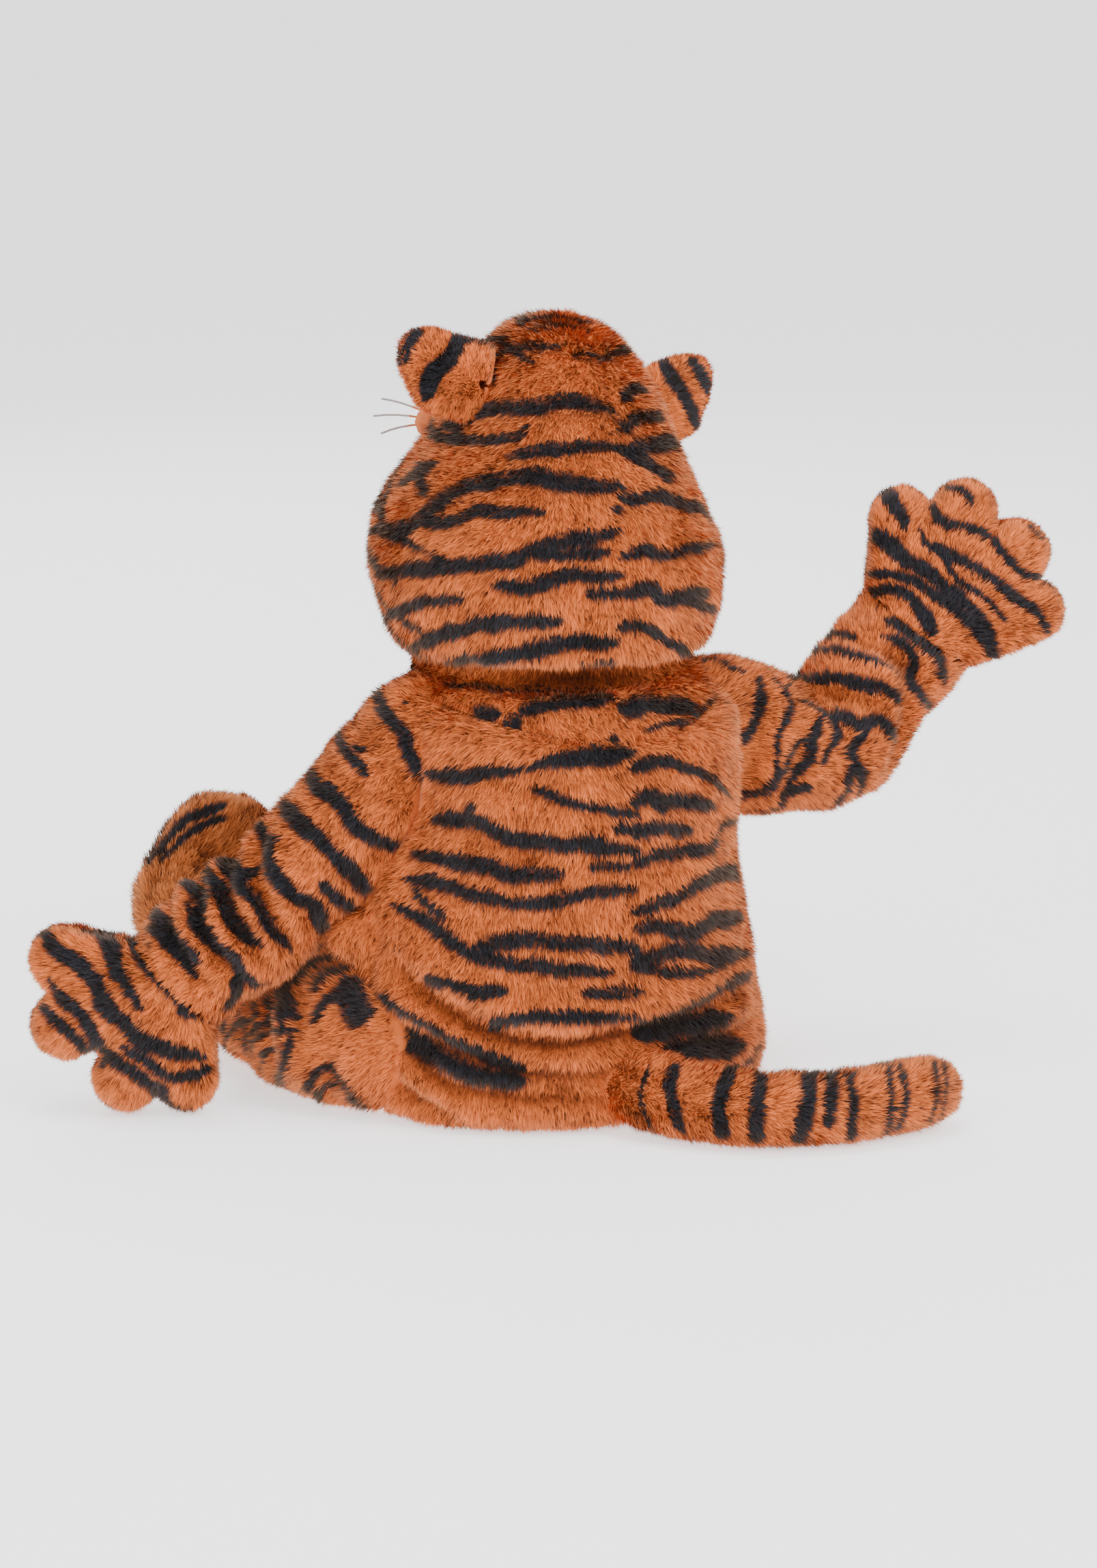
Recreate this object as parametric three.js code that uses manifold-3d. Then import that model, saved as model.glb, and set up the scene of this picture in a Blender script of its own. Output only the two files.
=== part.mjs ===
// A baby's plush tiger costume, kept in the hollow form and the seated pose in which it is worn:
// a hooded jumpsuit with paw mitts, covered feet and a stuffed tail.
// Millimetres, +Z up, the front of the garment faces -Y and the wearer's left hand is on the +X side.
// The tables give heights above the ground that the wearer sits on; the group at the end moves the
// origin up to the middle of the shoulders, where the wearer carries the garment.
import * as THREE from 'three';
import { mergeVertices } from 'three/addons/utils/BufferGeometryUtils.js';
import Module from 'manifold-3d';

const wasm = await Module();
wasm.setup();

// ---------------------------------------------------------------- driving sizes

const WALL = 6; // plush cloth: a knitted backing and its laid pile
const SEAM_GAP = 0.3; // between pieces that are sewn together
const CUFF_GAP = 0.8; // between a tube and the mitt or foot at its end, whose rims are not quite parallel
const ARMHOLE_INSET = 18; // how much narrower an armhole is than its sleeve
const LEG_HOLE_INSET = 6;
const HOLD_HEIGHT = 250; // the shoulders that carry the garment
const ARM_TURN = 25; // degrees from the line of the shoulders to the plane of the arms
// The hood's face opening, an ellipse cut forwards from `behind`.
const FACE = { height: 335, halfWide: 58, halfHigh: 54, behind: -40, deep: 200 };

const TORSO_COLUMNS = 32;
const HOOD_COLUMNS = 28;
const SLEEVE_COLUMNS = 16;
const LEG_COLUMNS = 16;
const TAIL_COLUMNS = 14;
const MITT_RAYS = 28;
const EAR_RAYS = 16;
const FACE_SEGMENTS = 12; // of each quarter of the face opening's outline, and of a whisker pad
const LUMEN_STEPS = 6;
const WHISKER_STEPS = 5;
const SAME_POINT = 1e-3;
const POINT_SIZE = 0.5; // a ring narrower than this is a closed end

// How surfaces are read, as shares of a turn round them or of the way along them.
const NEAR = 0.004; // the step that a normal is measured over
const PATH_NEAR = 0.05; // the step that a limb's direction is measured over
const FIRST_UNTIL = 0.15; // where a limb has left its first direction
const LAST_FROM = 0.7; // where a limb begins to turn to its last direction
const FOLD_FADE = { none: -0.6, full: 0.2 }; // the sines round the body between which folds fade in
const GATHER_FADE = { full: 0.15, ends: 0.9 }; // where gathers reach their depth, and lose it
const HOLE_UNTIL = 0.5; // how far along a limb the hollow reaches that cuts its hole in the torso
const HEIGHT_STEPS = 200; // places tried for the ring of the hood at a height

const ORANGE = '#bb6530';
const RUST = '#a4552a';
const WHISKER_GREY = '#8d8a86';

// ---------------------------------------------------------------- tables

// Body rings, neckline to seat. Heights at the back, side and front of a ring; the half width; how
// far the back and the front reach along Y; how far the ring lies to the wearer's left; how deep a
// crease cuts in; the wall's depth. A size that a row leaves out is 0.
const TORSO_ROWS = [
  { name: 'neckline', back: 241, side: 256, front: 224, half: 92, rear: 112, fore: -84, wall: 6 },
  { name: 'shoulder', back: 231, side: 240, front: 208, half: 106, rear: 117, fore: -96, wall: 6 },
  { name: 'chest', back: 209, side: 214, front: 190, half: 110, rear: 119, fore: -106, wall: 6 },
  { name: 'ribs', back: 181, side: 192, front: 165, half: 111, rear: 119, fore: -112, shift: 1, wall: 6 },
  {
    name: 'waist', back: 150, side: 168, front: 135, half: 116,
    rear: 118, fore: -117, shift: 5, wall: 6,
  },
  {
    name: 'belly', back: 112, side: 146, front: 110, half: 122,
    rear: 118, fore: -119, shift: 8, wall: 8,
  },
  {
    name: 'overhang', back: 74, side: 130, front: 92, half: 126,
    rear: 121, fore: -119, shift: 8, wall: 12,
  },
  {
    name: 'fold 1', back: 60, side: 116, front: 80, half: 128,
    rear: 119, fore: -118, shift: 8, fold: 7, wall: 12,
  },
  {
    name: 'roll 1', back: 52, side: 103, front: 68, half: 130,
    rear: 118, fore: -116, shift: 7, wall: 12,
  },
  {
    name: 'fold 2', back: 44, side: 90, front: 58, half: 131,
    rear: 118, fore: -114, shift: 6, fold: 7, wall: 12,
  },
  { name: 'roll 2', back: 36, side: 75, front: 48, half: 132, rear: 117, fore: -112, shift: 5, wall: 12 },
  {
    name: 'fold 3', back: 29, side: 58, front: 38, half: 133,
    rear: 117, fore: -110, shift: 3, fold: 6, wall: 12,
  },
  { name: 'seat', back: 16, side: 34, front: 22, half: 135, rear: 115, fore: -106, shift: 1, wall: 10 },
  { name: 'under', back: 4, side: 8, front: 6, half: 129, rear: 107, fore: -98, wall: 8 },
  { name: 'ground edge', back: 0, side: 0, front: 0, half: 116, rear: 95, fore: -86, wall: 6 },
  { name: 'crotch', back: 0, side: 0, front: 0, half: 0, rear: 4, fore: 4, wall: 6 },
];

// Hood rings, neckline to crown. The hood leans to the wearer's right: shift moves a ring along X
// and lean is the slope of its plane.
const HOOD_ROWS = [
  { name: 'neckline', back: 241, side: 256, front: 224, half: 92, rear: 112, fore: -84 },
  { name: 'yoke', back: 260, side: 266, front: 240, half: 89, rear: 100, fore: -92 },
  { name: 'crease', back: 276, side: 274, front: 260, half: 84, rear: 86, fore: -101 },
  { name: 'nape', back: 284, side: 283, front: 272, half: 95, rear: 95, fore: -109, lean: 0.02 },
  { name: 'jowl', back: 301, side: 301, front: 297, half: 103, rear: 99, fore: -121, lean: 0.05 },
  { name: 'cheek', back: 323, side: 323, front: 322, half: 107, rear: 101, fore: -129, lean: 0.08 },
  {
    name: 'temple', back: 345, side: 345, front: 345, half: 105,
    rear: 99, fore: -130, shift: -2, lean: 0.1,
  },
  {
    name: 'brow', back: 370, side: 370, front: 370, half: 93,
    rear: 94, fore: -126, shift: -5, lean: 0.12,
  },
  {
    name: 'ear base', back: 399, side: 399, front: 399, half: 74,
    rear: 84, fore: -117, shift: -9, lean: 0.12,
  },
  {
    name: 'ear top', back: 423, side: 423, front: 423, half: 62,
    rear: 70, fore: -103, shift: -10, lean: 0.12,
  },
  {
    name: 'crown', back: 445, side: 445, front: 445, half: 52,
    rear: 53, fore: -87, shift: -11, lean: 0.12,
  },
  {
    name: 'cap', back: 463, side: 463, front: 463, half: 38.5,
    rear: 32, fore: -68, shift: -13, lean: 0.12,
  },
  {
    name: 'cap edge', back: 475, side: 475, front: 475, half: 23,
    rear: 8, fore: -46, shift: -14, lean: 0.12,
  },
  {
    name: 'top', back: 480, side: 480, front: 480, half: 0,
    rear: -19, fore: -19, shift: -14, lean: 0.12,
  },
];

// Sleeve rings, shoulder to wrist, in the arm plane: out from the middle of the body, back from the
// plane towards the rear, up from the ground; half sizes in the plane and across it.
const LEFT_SLEEVE_ROWS = [
  { name: 'in the body', out: 42, back: 26, up: 224, wide: 40, deep: 38 },
  { name: 'shoulder', out: 71, back: 35, up: 221, wide: 49, deep: 42 },
  { name: 'sleeve head', out: 98, back: 41, up: 203, wide: 43, deep: 42 },
  { name: 'upper arm', out: 121, back: 45, up: 177, wide: 42, deep: 41 },
  { name: 'above the elbow', out: 146, back: 49, up: 153, wide: 40, deep: 39 },
  { name: 'elbow', out: 162, back: 52, up: 139, wide: 37, deep: 37 },
  { name: 'forearm', out: 183, back: 56, up: 119, wide: 40, deep: 37 },
  { name: 'gathers', out: 208, back: 60, up: 102.5, wide: 40, deep: 36 },
  { name: 'wrist', out: 228, back: 64, up: 84, wide: 35, deep: 30 },
];
const RIGHT_SLEEVE_ROWS = [
  { name: 'in the body', out: 62, back: -24, up: 214, wide: 44, deep: 38 },
  { name: 'shoulder', out: 99, back: -36, up: 215, wide: 50, deep: 42 },
  { name: 'sleeve head', out: 129, back: -45, up: 209, wide: 46, deep: 42 },
  { name: 'upper arm', out: 158, back: -54, up: 204, wide: 41, deep: 41 },
  { name: 'elbow', out: 178, back: -60, up: 211, wide: 43, deep: 40 },
  { name: 'past the elbow', out: 187, back: -64, up: 225, wide: 41, deep: 38 },
  { name: 'forearm', out: 200, back: -70, up: 244, wide: 40, deep: 37 },
  { name: 'gathers', out: 215, back: -76, up: 257.5, wide: 40, deep: 35 },
  { name: 'wrist', out: 227, back: -80, up: 274, wide: 41, deep: 30 },
];
// Gathers round a sleeve: how many, where they begin and end along it, how deep, how far they slant.
const LEFT_GATHERS = { count: 5, from: 0.56, to: 0.98, depth: 3.2, slant: 0.5 };
const RIGHT_GATHERS = { count: 3, from: 0.3, to: 0.62, depth: 4, slant: 0.9 };

// Mitts, in the arm plane: the angle of the middle line below or above the horizontal, and the
// rounded lobes of its outline as circles, each at an angle from the middle line.
const LEFT_MITT = { pitch: -43, palm: 68, thick: 28 };
const RIGHT_MITT = { pitch: 54, palm: 76, thick: 28 };
const LEFT_LOBES = [
  { name: 'toe 1', angle: -54, reach: 92, radius: 21 },
  { name: 'toe 2', angle: -21, reach: 96, radius: 21 },
  { name: 'toe 3', angle: 19, reach: 91, radius: 21 },
  { name: 'toe 4', angle: 51, reach: 82.5, radius: 19 },
];
const RIGHT_LOBES = [
  { name: 'toe 1', angle: -44.5, reach: 92, radius: 20 },
  { name: 'toe 2', angle: -14.5, reach: 102, radius: 21 },
  { name: 'toe 3', angle: 16, reach: 102, radius: 21 },
  { name: 'toe 4', angle: 45, reach: 95, radius: 20 },
];
const MITT_STEPS = [0, 0.3, 0.6, 0.85, 1]; // from the cuff to the outline
const MITT_CROWN = 2.6; // how full a mitt is: the power of its rounded edge
const MITT_SIDE_ROUND = 0.55; // how much of a cuff's round section is lost towards the toes

// Leg rings, hip to ankle, and a foot's rings after them; x is counted outwards on both sides.
const LEFT_LEG_ROWS = [
  { name: 'in the body', x: 60, y: 0, z: 50, wide: 46, deep: 50 },
  { name: 'hip', x: 99, y: 0, z: 48, wide: 54, deep: 51 },
  { name: 'seat side', x: 122, y: -28, z: 45, wide: 61, deep: 50 },
  { name: 'thigh', x: 128, y: -72, z: 42, wide: 58, deep: 47 },
  { name: 'knee', x: 127, y: -130, z: 40, wide: 56, deep: 43 },
  { name: 'calf', x: 124, y: -190, z: 38, wide: 49, deep: 40 },
  { name: 'shin', x: 118, y: -245, z: 36.5, wide: 44, deep: 37 },
  { name: 'ankle', x: 112, y: -285, z: 35, wide: 41, deep: 35 },
];
const RIGHT_LEG_ROWS = [
  { name: 'in the body', x: 38, y: 4, z: 50, wide: 48, deep: 50 },
  { name: 'hip', x: 74, y: -10, z: 48, wide: 54, deep: 50 },
  { name: 'seat side', x: 98, y: -45, z: 45, wide: 58, deep: 49 },
  { name: 'thigh', x: 112, y: -85, z: 42, wide: 59, deep: 47 },
  { name: 'knee', x: 118, y: -135, z: 40, wide: 56, deep: 43 },
  { name: 'calf', x: 119, y: -190, z: 38, wide: 49, deep: 40 },
  { name: 'shin', x: 116, y: -245, z: 36.5, wide: 44, deep: 37 },
  { name: 'ankle', x: 112, y: -285, z: 35, wide: 41, deep: 35 },
];
const FOOT_ROWS = [
  { name: 'ankle', x: 112, y: -285, z: 35, wide: 41, deep: 35 },
  { name: 'heel', x: 113, y: -307, z: 39, wide: 44, deep: 37 },
  { name: 'arch', x: 113, y: -323, z: 51, wide: 49, deep: 36 },
  { name: 'instep', x: 104, y: -331, z: 69.5, wide: 48, deep: 31 },
  { name: 'ball', x: 93, y: -333, z: 90.5, wide: 47, deep: 28 },
  { name: 'toes', x: 85, y: -333, z: 109.5, wide: 38, deep: 24 },
  { name: 'toe end', x: 79, y: -332, z: 121.5, wide: 23, deep: 16 },
  { name: 'tip', x: 77, y: -332, z: 127, wide: 0, deep: 0 },
];

// Stuffed tail, from the seat to its tip.
const TAIL_ROWS = [
  { name: 'in the seat', x: 6, y: 94, z: 30, wide: 23, deep: 22 },
  { name: 'root', x: -5, y: 120, z: 28, wide: 24.5, deep: 24 },
  { name: 'turn', x: -26, y: 150, z: 24.5, wide: 23.5, deep: 23.5 },
  { name: 'bend', x: -62, y: 178, z: 23, wide: 22.5, deep: 22.5 },
  { name: 'run', x: -108, y: 188, z: 22.5, wide: 21.8, deep: 21.8 },
  { name: 'end', x: -147, y: 185, z: 23.2, wide: 21.7, deep: 21.7 },
  { name: 'tip edge', x: -173, y: 177, z: 24, wide: 17, deep: 17 },
  { name: 'tip', x: -185, y: 172, z: 24.5, wide: 0, deep: 0 },
];

const EAR_THICK = 8; // of each of the two layers
const EAR_DEPTH = 26; // how far an ear's foot reaches in under the hood's surface
const EAR_STEPS = [0, 0.45, 0.8, 1]; // from the foot to the outline
const EAR_CROWN = 2.5; // how full an ear is: the power of its rounded edge
// Ear outline: how far a point stands out from the hood and how far it is along the ear's foot.
const EAR_OUTLINE = [
  { out: -EAR_DEPTH, along: -26 },
  { out: 10, along: -24 },
  { out: 23, along: -15 },
  { out: 33, along: -3 },
  { out: 37, along: 8 },
  { out: 36, along: 16 },
  { out: 27, along: 23 },
  { out: 12, along: 26 },
  { out: -EAR_DEPTH, along: 26 },
];
const EARS = [
  { side: 'left', sign: 1, foot: [69, -4, 446], rise: 17 },
  { side: 'right', sign: -1, foot: [-77, -4, 421], rise: 22 },
];

// Whisker pads over the face opening, with three whiskers on each.
const WHISKERS = {
  x: 30, z: 405,
  padWide: 17, padHigh: 12, padDeep: 9,
  thick: 0.8, rootOut: 4, rootFore: 2, bowFore: 5, bowUp: 3,
};
const WHISKER_ROWS = [
  { name: 'upper', out: 35, rise: 15, fore: -10 },
  { name: 'middle', out: 39, rise: 4, fore: -14 },
  { name: 'lower', out: 35, rise: -7, fore: -12 },
];

// ---------------------------------------------------------------- curves and surfaces

const vec = (x, y, z) => new THREE.Vector3(x, y, z);
const turn = THREE.MathUtils.degToRad;
const UP = vec(0, 0, 1);
const ARM_SIDE = vec(Math.cos(turn(ARM_TURN)), -Math.sin(turn(ARM_TURN)), 0);
const ARM_BACK = vec(Math.sin(turn(ARM_TURN)), Math.cos(turn(ARM_TURN)), 0);

const steps = (count, from = 0, to = 1) =>
  Array.from({ length: count + 1 }, (_, i) => from + ((to - from) * i) / count);

// One column of a table at t, from 0 at its first row to 1 at its last, without overshoot.
function column(rows, name, t) {
  const last = rows.length - 1;
  const place = THREE.MathUtils.clamp(t, 0, 1) * last;
  const i = Math.min(Math.floor(place), last - 1);
  const at = (k) => rows[k][name] ?? 0;
  const slope = (k) => {
    if (k === 0) return at(1) - at(0);
    if (k === last) return at(last) - at(last - 1);
    const before = at(k) - at(k - 1);
    const after = at(k + 1) - at(k);
    return before * after <= 0 ? 0 : (2 * before * after) / (before + after);
  };
  const f = place - i;
  const f2 = f * f;
  const f3 = f2 * f;
  return (
    (2 * f3 - 3 * f2 + 1) * at(i) +
    (f3 - 2 * f2 + f) * slope(i) +
    (3 * f2 - 2 * f3) * at(i + 1) +
    (f3 - f2) * slope(i + 1)
  );
}

// Rings round the upright axis. u goes round once, from the wearer's left by the back; layer is
// 'outer' with the creases, or 'plain' without them.
function bodySurface(rows) {
  return (u, t, layer) => {
    const get = (name) => column(rows, name, t);
    const angle = 2 * Math.PI * u;
    const c = Math.cos(angle);
    const s = Math.sin(angle);
    const end = s > 0 ? get('back') : get('front');
    const backward = THREE.MathUtils.smoothstep(s, FOLD_FADE.none, FOLD_FADE.full);
    const cut = layer === 'outer' ? get('fold') * backward : 0;
    const half = Math.max(get('half') - cut, 0);
    const deep = Math.max((get('rear') - get('fore')) / 2 - cut, 0);
    const x = half * c;
    return vec(
      get('shift') + x,
      (get('rear') + get('fore')) / 2 + deep * s,
      get('side') + (end - get('side')) * s * s + get('lean') * x,
    );
  };
}

const aboveGround = (point) => point.setZ(Math.max(point.z, 0));

// Rings across a path. `place` turns a row into the ring's middle, `across` is where its wide axis
// points, `wrinkle` the depth of a gather, `first` and `last` the directions in which the path
// begins and ends. What would reach below the ground lies flat on it.
function limbSurface(rows, { place, across, wrinkle = () => 0, first = null, last = null }) {
  const middle = (t) => place((name) => column(rows, name, t));
  return (u, t, layer) => {
    const [before, after] = [Math.max(t - PATH_NEAR, 0), Math.min(t + PATH_NEAR, 1)];
    const along = middle(after).sub(middle(before)).normalize();
    if (first) along.lerp(first, 1 - THREE.MathUtils.smoothstep(t, 0, FIRST_UNTIL)).normalize();
    if (last) along.lerp(last, THREE.MathUtils.smoothstep(t, LAST_FROM, 1)).normalize();
    const wideAxis = across.clone().addScaledVector(along, -across.dot(along)).normalize();
    const deepAxis = along.clone().cross(wideAxis);
    const angle = 2 * Math.PI * u;
    const cut = layer === 'outer' ? wrinkle(u, t) : 0;
    const wide = Math.max(column(rows, 'wide', t) - cut, 0);
    const deep = Math.max(column(rows, 'deep', t) - cut, 0);
    const point = middle(t)
      .addScaledVector(wideAxis, wide * Math.cos(angle))
      .addScaledVector(deepAxis, deep * Math.sin(angle));
    return aboveGround(point);
  };
}

// The unit normal of a surface, facing out. `size` is the table column that a closed end shrinks to 0.
function normalOf(surface, u, t, layer, size) {
  const low = Math.max(t - NEAR, size(t) < POINT_SIZE ? NEAR : 0);
  const high = Math.min(low + 2 * NEAR, 1);
  const middle = (low + high) / 2;
  const round = surface(u + NEAR, middle, layer).sub(surface(u - NEAR, middle, layer));
  const along = surface(u, high, layer).sub(surface(u, low, layer));
  return along.cross(round).normalize().multiplyScalar(handOf(surface));
}

// 1 where a surface's steps along and round it turn outwards, -1 where they turn inwards.
function handOf(surface) {
  const t = 0.3;
  const ring = steps(8).slice(1);
  const middle = vec(0, 0, 0);
  ring.forEach((u) => middle.addScaledVector(surface(u, t, 'plain'), 1 / ring.length));
  const turns = ring.map((u) => {
    const round = surface(u + NEAR, t, 'plain').sub(surface(u - NEAR, t, 'plain'));
    const along = surface(u, t + NEAR, 'plain').sub(surface(u, t - NEAR, 'plain'));
    return along.cross(round).dot(surface(u, t, 'plain').sub(middle));
  });
  return Math.sign(turns.reduce((sum, value) => sum + value, 0));
}

// The point of a surface moved outwards by `depth`. At a closed end all the points of the ring
// move the same way.
function offsetPoint(surface, u, t, layer, depth, size) {
  const point = surface(u, t, layer);
  if (depth === 0) return point;
  if (size(t) >= POINT_SIZE) return point.addScaledVector(normalOf(surface, u, t, layer, size), depth);
  const mean = vec(0, 0, 0);
  steps(8).slice(1).forEach((v) => mean.add(normalOf(surface, v, t, layer, size)));
  return point.addScaledVector(mean.normalize(), depth);
}

// ---------------------------------------------------------------- solids

// A closed geometry from loose triangles, facing out.
function closed(points) {
  const loose = new THREE.BufferGeometry().setFromPoints(points);
  const welded = mergeVertices(loose, SAME_POINT);
  const index = welded.index.array;
  const kept = [];
  for (let i = 0; i < index.length; i += 3) {
    const [a, b, c] = [index[i], index[i + 1], index[i + 2]];
    if (a !== b && b !== c && c !== a) kept.push(a, b, c);
  }
  welded.setIndex(kept);
  if (volumeOf(welded) < 0) welded.setIndex(kept.reverse());
  return welded;
}

function volumeOf(geometry) {
  const at = geometry.attributes.position;
  const index = geometry.index.array;
  const corner = [vec(0, 0, 0), vec(0, 0, 0), vec(0, 0, 0)];
  let sum = 0;
  for (let i = 0; i < index.length; i += 3) {
    corner.forEach((point, k) => point.fromBufferAttribute(at, index[i + k]));
    sum += corner[0].dot(corner[1].clone().cross(corner[2])) / 6;
  }
  return sum;
}

// A geometry from the library as a closed body of this file's kind.
function closedFrom(geometry) {
  const loose = geometry.index ? geometry.toNonIndexed() : geometry;
  const at = loose.attributes.position;
  return closed(Array.from({ length: at.count }, (_, i) => vec(0, 0, 0).fromBufferAttribute(at, i)));
}

const quad = (out, a, b, c, d) => out.push(a, b, c, a, c, d);

// A wall between an outer and an inner net of points, net[round][down]. Its rims are closed, and
// so are its two side edges, unless it goes all the way round.
function wallSolid(outer, inner, wholeRound) {
  const out = [];
  const wide = outer.length - 1;
  const long = outer[0].length - 1;
  for (let i = 0; i < wide; i += 1) {
    for (let j = 0; j < long; j += 1) {
      quad(out, outer[i][j], outer[i][j + 1], outer[i + 1][j + 1], outer[i + 1][j]);
      quad(out, inner[i + 1][j], inner[i + 1][j + 1], inner[i][j + 1], inner[i][j]);
    }
    quad(out, outer[i + 1][0], inner[i + 1][0], inner[i][0], outer[i][0]);
    quad(out, outer[i][long], inner[i][long], inner[i + 1][long], outer[i + 1][long]);
  }
  if (!wholeRound) {
    for (let j = 0; j < long; j += 1) {
      quad(out, outer[0][j], inner[0][j], inner[0][j + 1], outer[0][j + 1]);
      quad(out, outer[wide][j], outer[wide][j + 1], inner[wide][j + 1], inner[wide][j]);
    }
  }
  return closed(out);
}

// A wall on a surface, between two places round it.
function wall(surface, { round, down, depth, size, whole = false }) {
  const outer = round.map((u) => down.map((t) => surface(u, t, 'outer')));
  const inner = round.map((u) =>
    down.map((t) => aboveGround(offsetPoint(surface, u, t, 'plain', -depth(t), size))),
  );
  return wallSolid(outer, inner, whole);
}

// A whole closed body inside a surface, its ends capped, moved out or in by `depth`.
function filled(surface, { columns, down, depth, size, layer = 'outer' }) {
  const round = steps(columns);
  const net = round.map((u) => down.map((t) => offsetPoint(surface, u, t, layer, depth, size)));
  const out = [];
  const centre = (j) => {
    const sum = vec(0, 0, 0);
    net.slice(1).forEach((line) => sum.add(line[j]));
    return sum.divideScalar(columns);
  };
  const first = centre(0);
  const last = centre(down.length - 1);
  for (let i = 0; i < columns; i += 1) {
    for (let j = 0; j < down.length - 1; j += 1) {
      quad(out, net[i][j], net[i][j + 1], net[i + 1][j + 1], net[i + 1][j]);
    }
    out.push(first, net[i][0], net[i + 1][0]);
    out.push(last, net[i + 1][down.length - 1], net[i][down.length - 1]);
  }
  return closed(out);
}

function toManifold(geometry) {
  return new wasm.Manifold(
    new wasm.Mesh({
      numProp: 3,
      vertProperties: Float32Array.from(geometry.attributes.position.array),
      triVerts: Uint32Array.from(geometry.index.array),
    }),
  );
}

function fromManifold(solid) {
  const mesh = solid.getMesh();
  const points = [];
  for (const index of mesh.triVerts) {
    const at = index * mesh.numProp;
    points.push(vec(mesh.vertProperties[at], mesh.vertProperties[at + 1], mesh.vertProperties[at + 2]));
  }
  return closed(points);
}

const shifted = (geometry, x, y, z) => geometry.clone().translate(x, y, z);

// ---------------------------------------------------------------- the garment's surfaces

const sizeOf = (rows, name) => (t) => column(rows, name, t);
const rowSteps = (rows, each) => steps((rows.length - 1) * each);

const torso = bodySurface(TORSO_ROWS);
const torsoSize = sizeOf(TORSO_ROWS, 'half');
const hood = bodySurface(HOOD_ROWS);
const hoodSize = sizeOf(HOOD_ROWS, 'half');

// How far forward the hood reaches at a height, beside its middle line.
function hoodFront(aside, height) {
  const level = steps(HEIGHT_STEPS).find((t) => hood(0.75, t, 'plain').z >= height);
  const half = hoodSize(level);
  const middle = (column(HOOD_ROWS, 'rear', level) + column(HOOD_ROWS, 'fore', level)) / 2;
  return middle + (column(HOOD_ROWS, 'fore', level) - middle) * Math.sqrt(1 - (aside / half) ** 2);
}

function gather({ count, from, to, depth, slant }) {
  return (u, t) => {
    const along = (t - from) / (to - from);
    const begin = THREE.MathUtils.smoothstep(along, 0, GATHER_FADE.full);
    const end = 1 - THREE.MathUtils.smoothstep(along, GATHER_FADE.ends, 1);
    const turns = count * along + slant * Math.cos(2 * Math.PI * u);
    return depth * Math.min(begin, end) * (0.5 - 0.5 * Math.cos(2 * Math.PI * turns));
  };
}

// A direction in the arm plane: degrees above the horizontal, on the side given by sign.
function armDirection(sign, degrees) {
  return ARM_SIDE.clone()
    .multiplyScalar(sign * Math.cos(turn(degrees)))
    .addScaledVector(UP, Math.sin(turn(degrees)));
}

function armPlace(sign) {
  return (get) =>
    ARM_SIDE.clone()
      .multiplyScalar(sign * get('out'))
      .addScaledVector(ARM_BACK, get('back'))
      .addScaledVector(UP, get('up'));
}

// `upright` is the direction, in degrees, of the sleeve's upper side half way along.
function sleeveSurface({ sign, upright, rows, gathers, mitt }) {
  return limbSurface(rows, {
    place: armPlace(sign),
    across: armDirection(sign, upright),
    wrinkle: gather(gathers),
    last: armDirection(sign, mitt.pitch),
  });
}

const legPlace = (sign) => (get) => vec(sign * get('x'), get('y'), get('z'));
const groundPlace = (get) => vec(get('x'), get('y'), get('z'));

// ---------------------------------------------------------------- pieces

const pieces = new THREE.Group();

function addPiece(name, geometry, colour) {
  geometry.deleteAttribute('normal');
  const material = new THREE.MeshStandardMaterial({ color: colour, roughness: 0.95, metalness: 0 });
  const mesh = new THREE.Mesh(geometry, material);
  mesh.name = name;
  pieces.add(mesh);
}

// Whole bodies inside the torso and the hood, a seam's gap larger, which trim what meets them.
const torsoBody = toManifold(
  filled(torso, {
    columns: TORSO_COLUMNS, down: rowSteps(TORSO_ROWS, 1), depth: SEAM_GAP, size: torsoSize,
  }),
);
const hoodBody = toManifold(
  filled(hood, {
    columns: HOOD_COLUMNS, down: rowSteps(HOOD_ROWS, 1), depth: SEAM_GAP, size: hoodSize,
  }),
);

const SLEEVES = [
  {
    side: 'left', sign: 1, upright: 50,
    rows: LEFT_SLEEVE_ROWS, gathers: LEFT_GATHERS, mitt: LEFT_MITT, lobes: LEFT_LOBES,
  },
  {
    side: 'right', sign: -1, upright: 115,
    rows: RIGHT_SLEEVE_ROWS, gathers: RIGHT_GATHERS, mitt: RIGHT_MITT, lobes: RIGHT_LOBES,
  },
];
const LEGS = [
  { side: 'left', sign: 1, rows: LEFT_LEG_ROWS },
  { side: 'right', sign: -1, rows: RIGHT_LEG_ROWS },
];
const SLEEVE_STEPS = [...steps(8, 0, HOLE_UNTIL), ...steps(12, HOLE_UNTIL, 1).slice(1)];

// The hollow inside a limb, which cuts its hole in the torso.
function lumen(surface, rows, columns, inset) {
  return toManifold(
    filled(surface, {
      columns, down: steps(LUMEN_STEPS, 0, HOLE_UNTIL), depth: -inset, size: sizeOf(rows, 'wide'),
      layer: 'plain',
    }),
  );
}

const limbHoles = [];

function addSleeve(sleeve) {
  const surface = sleeveSurface(sleeve);
  const tube = wall(surface, {
    round: steps(SLEEVE_COLUMNS), down: SLEEVE_STEPS, depth: () => WALL,
    size: sizeOf(sleeve.rows, 'wide'), whole: true,
  });
  const trimmed = toManifold(tube).subtract(torsoBody).subtract(hoodBody);
  addPiece(`sleeve_${sleeve.side}`, fromManifold(trimmed), ORANGE);
  limbHoles.push(lumen(surface, sleeve.rows, SLEEVE_COLUMNS, ARMHOLE_INSET));
}

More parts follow.
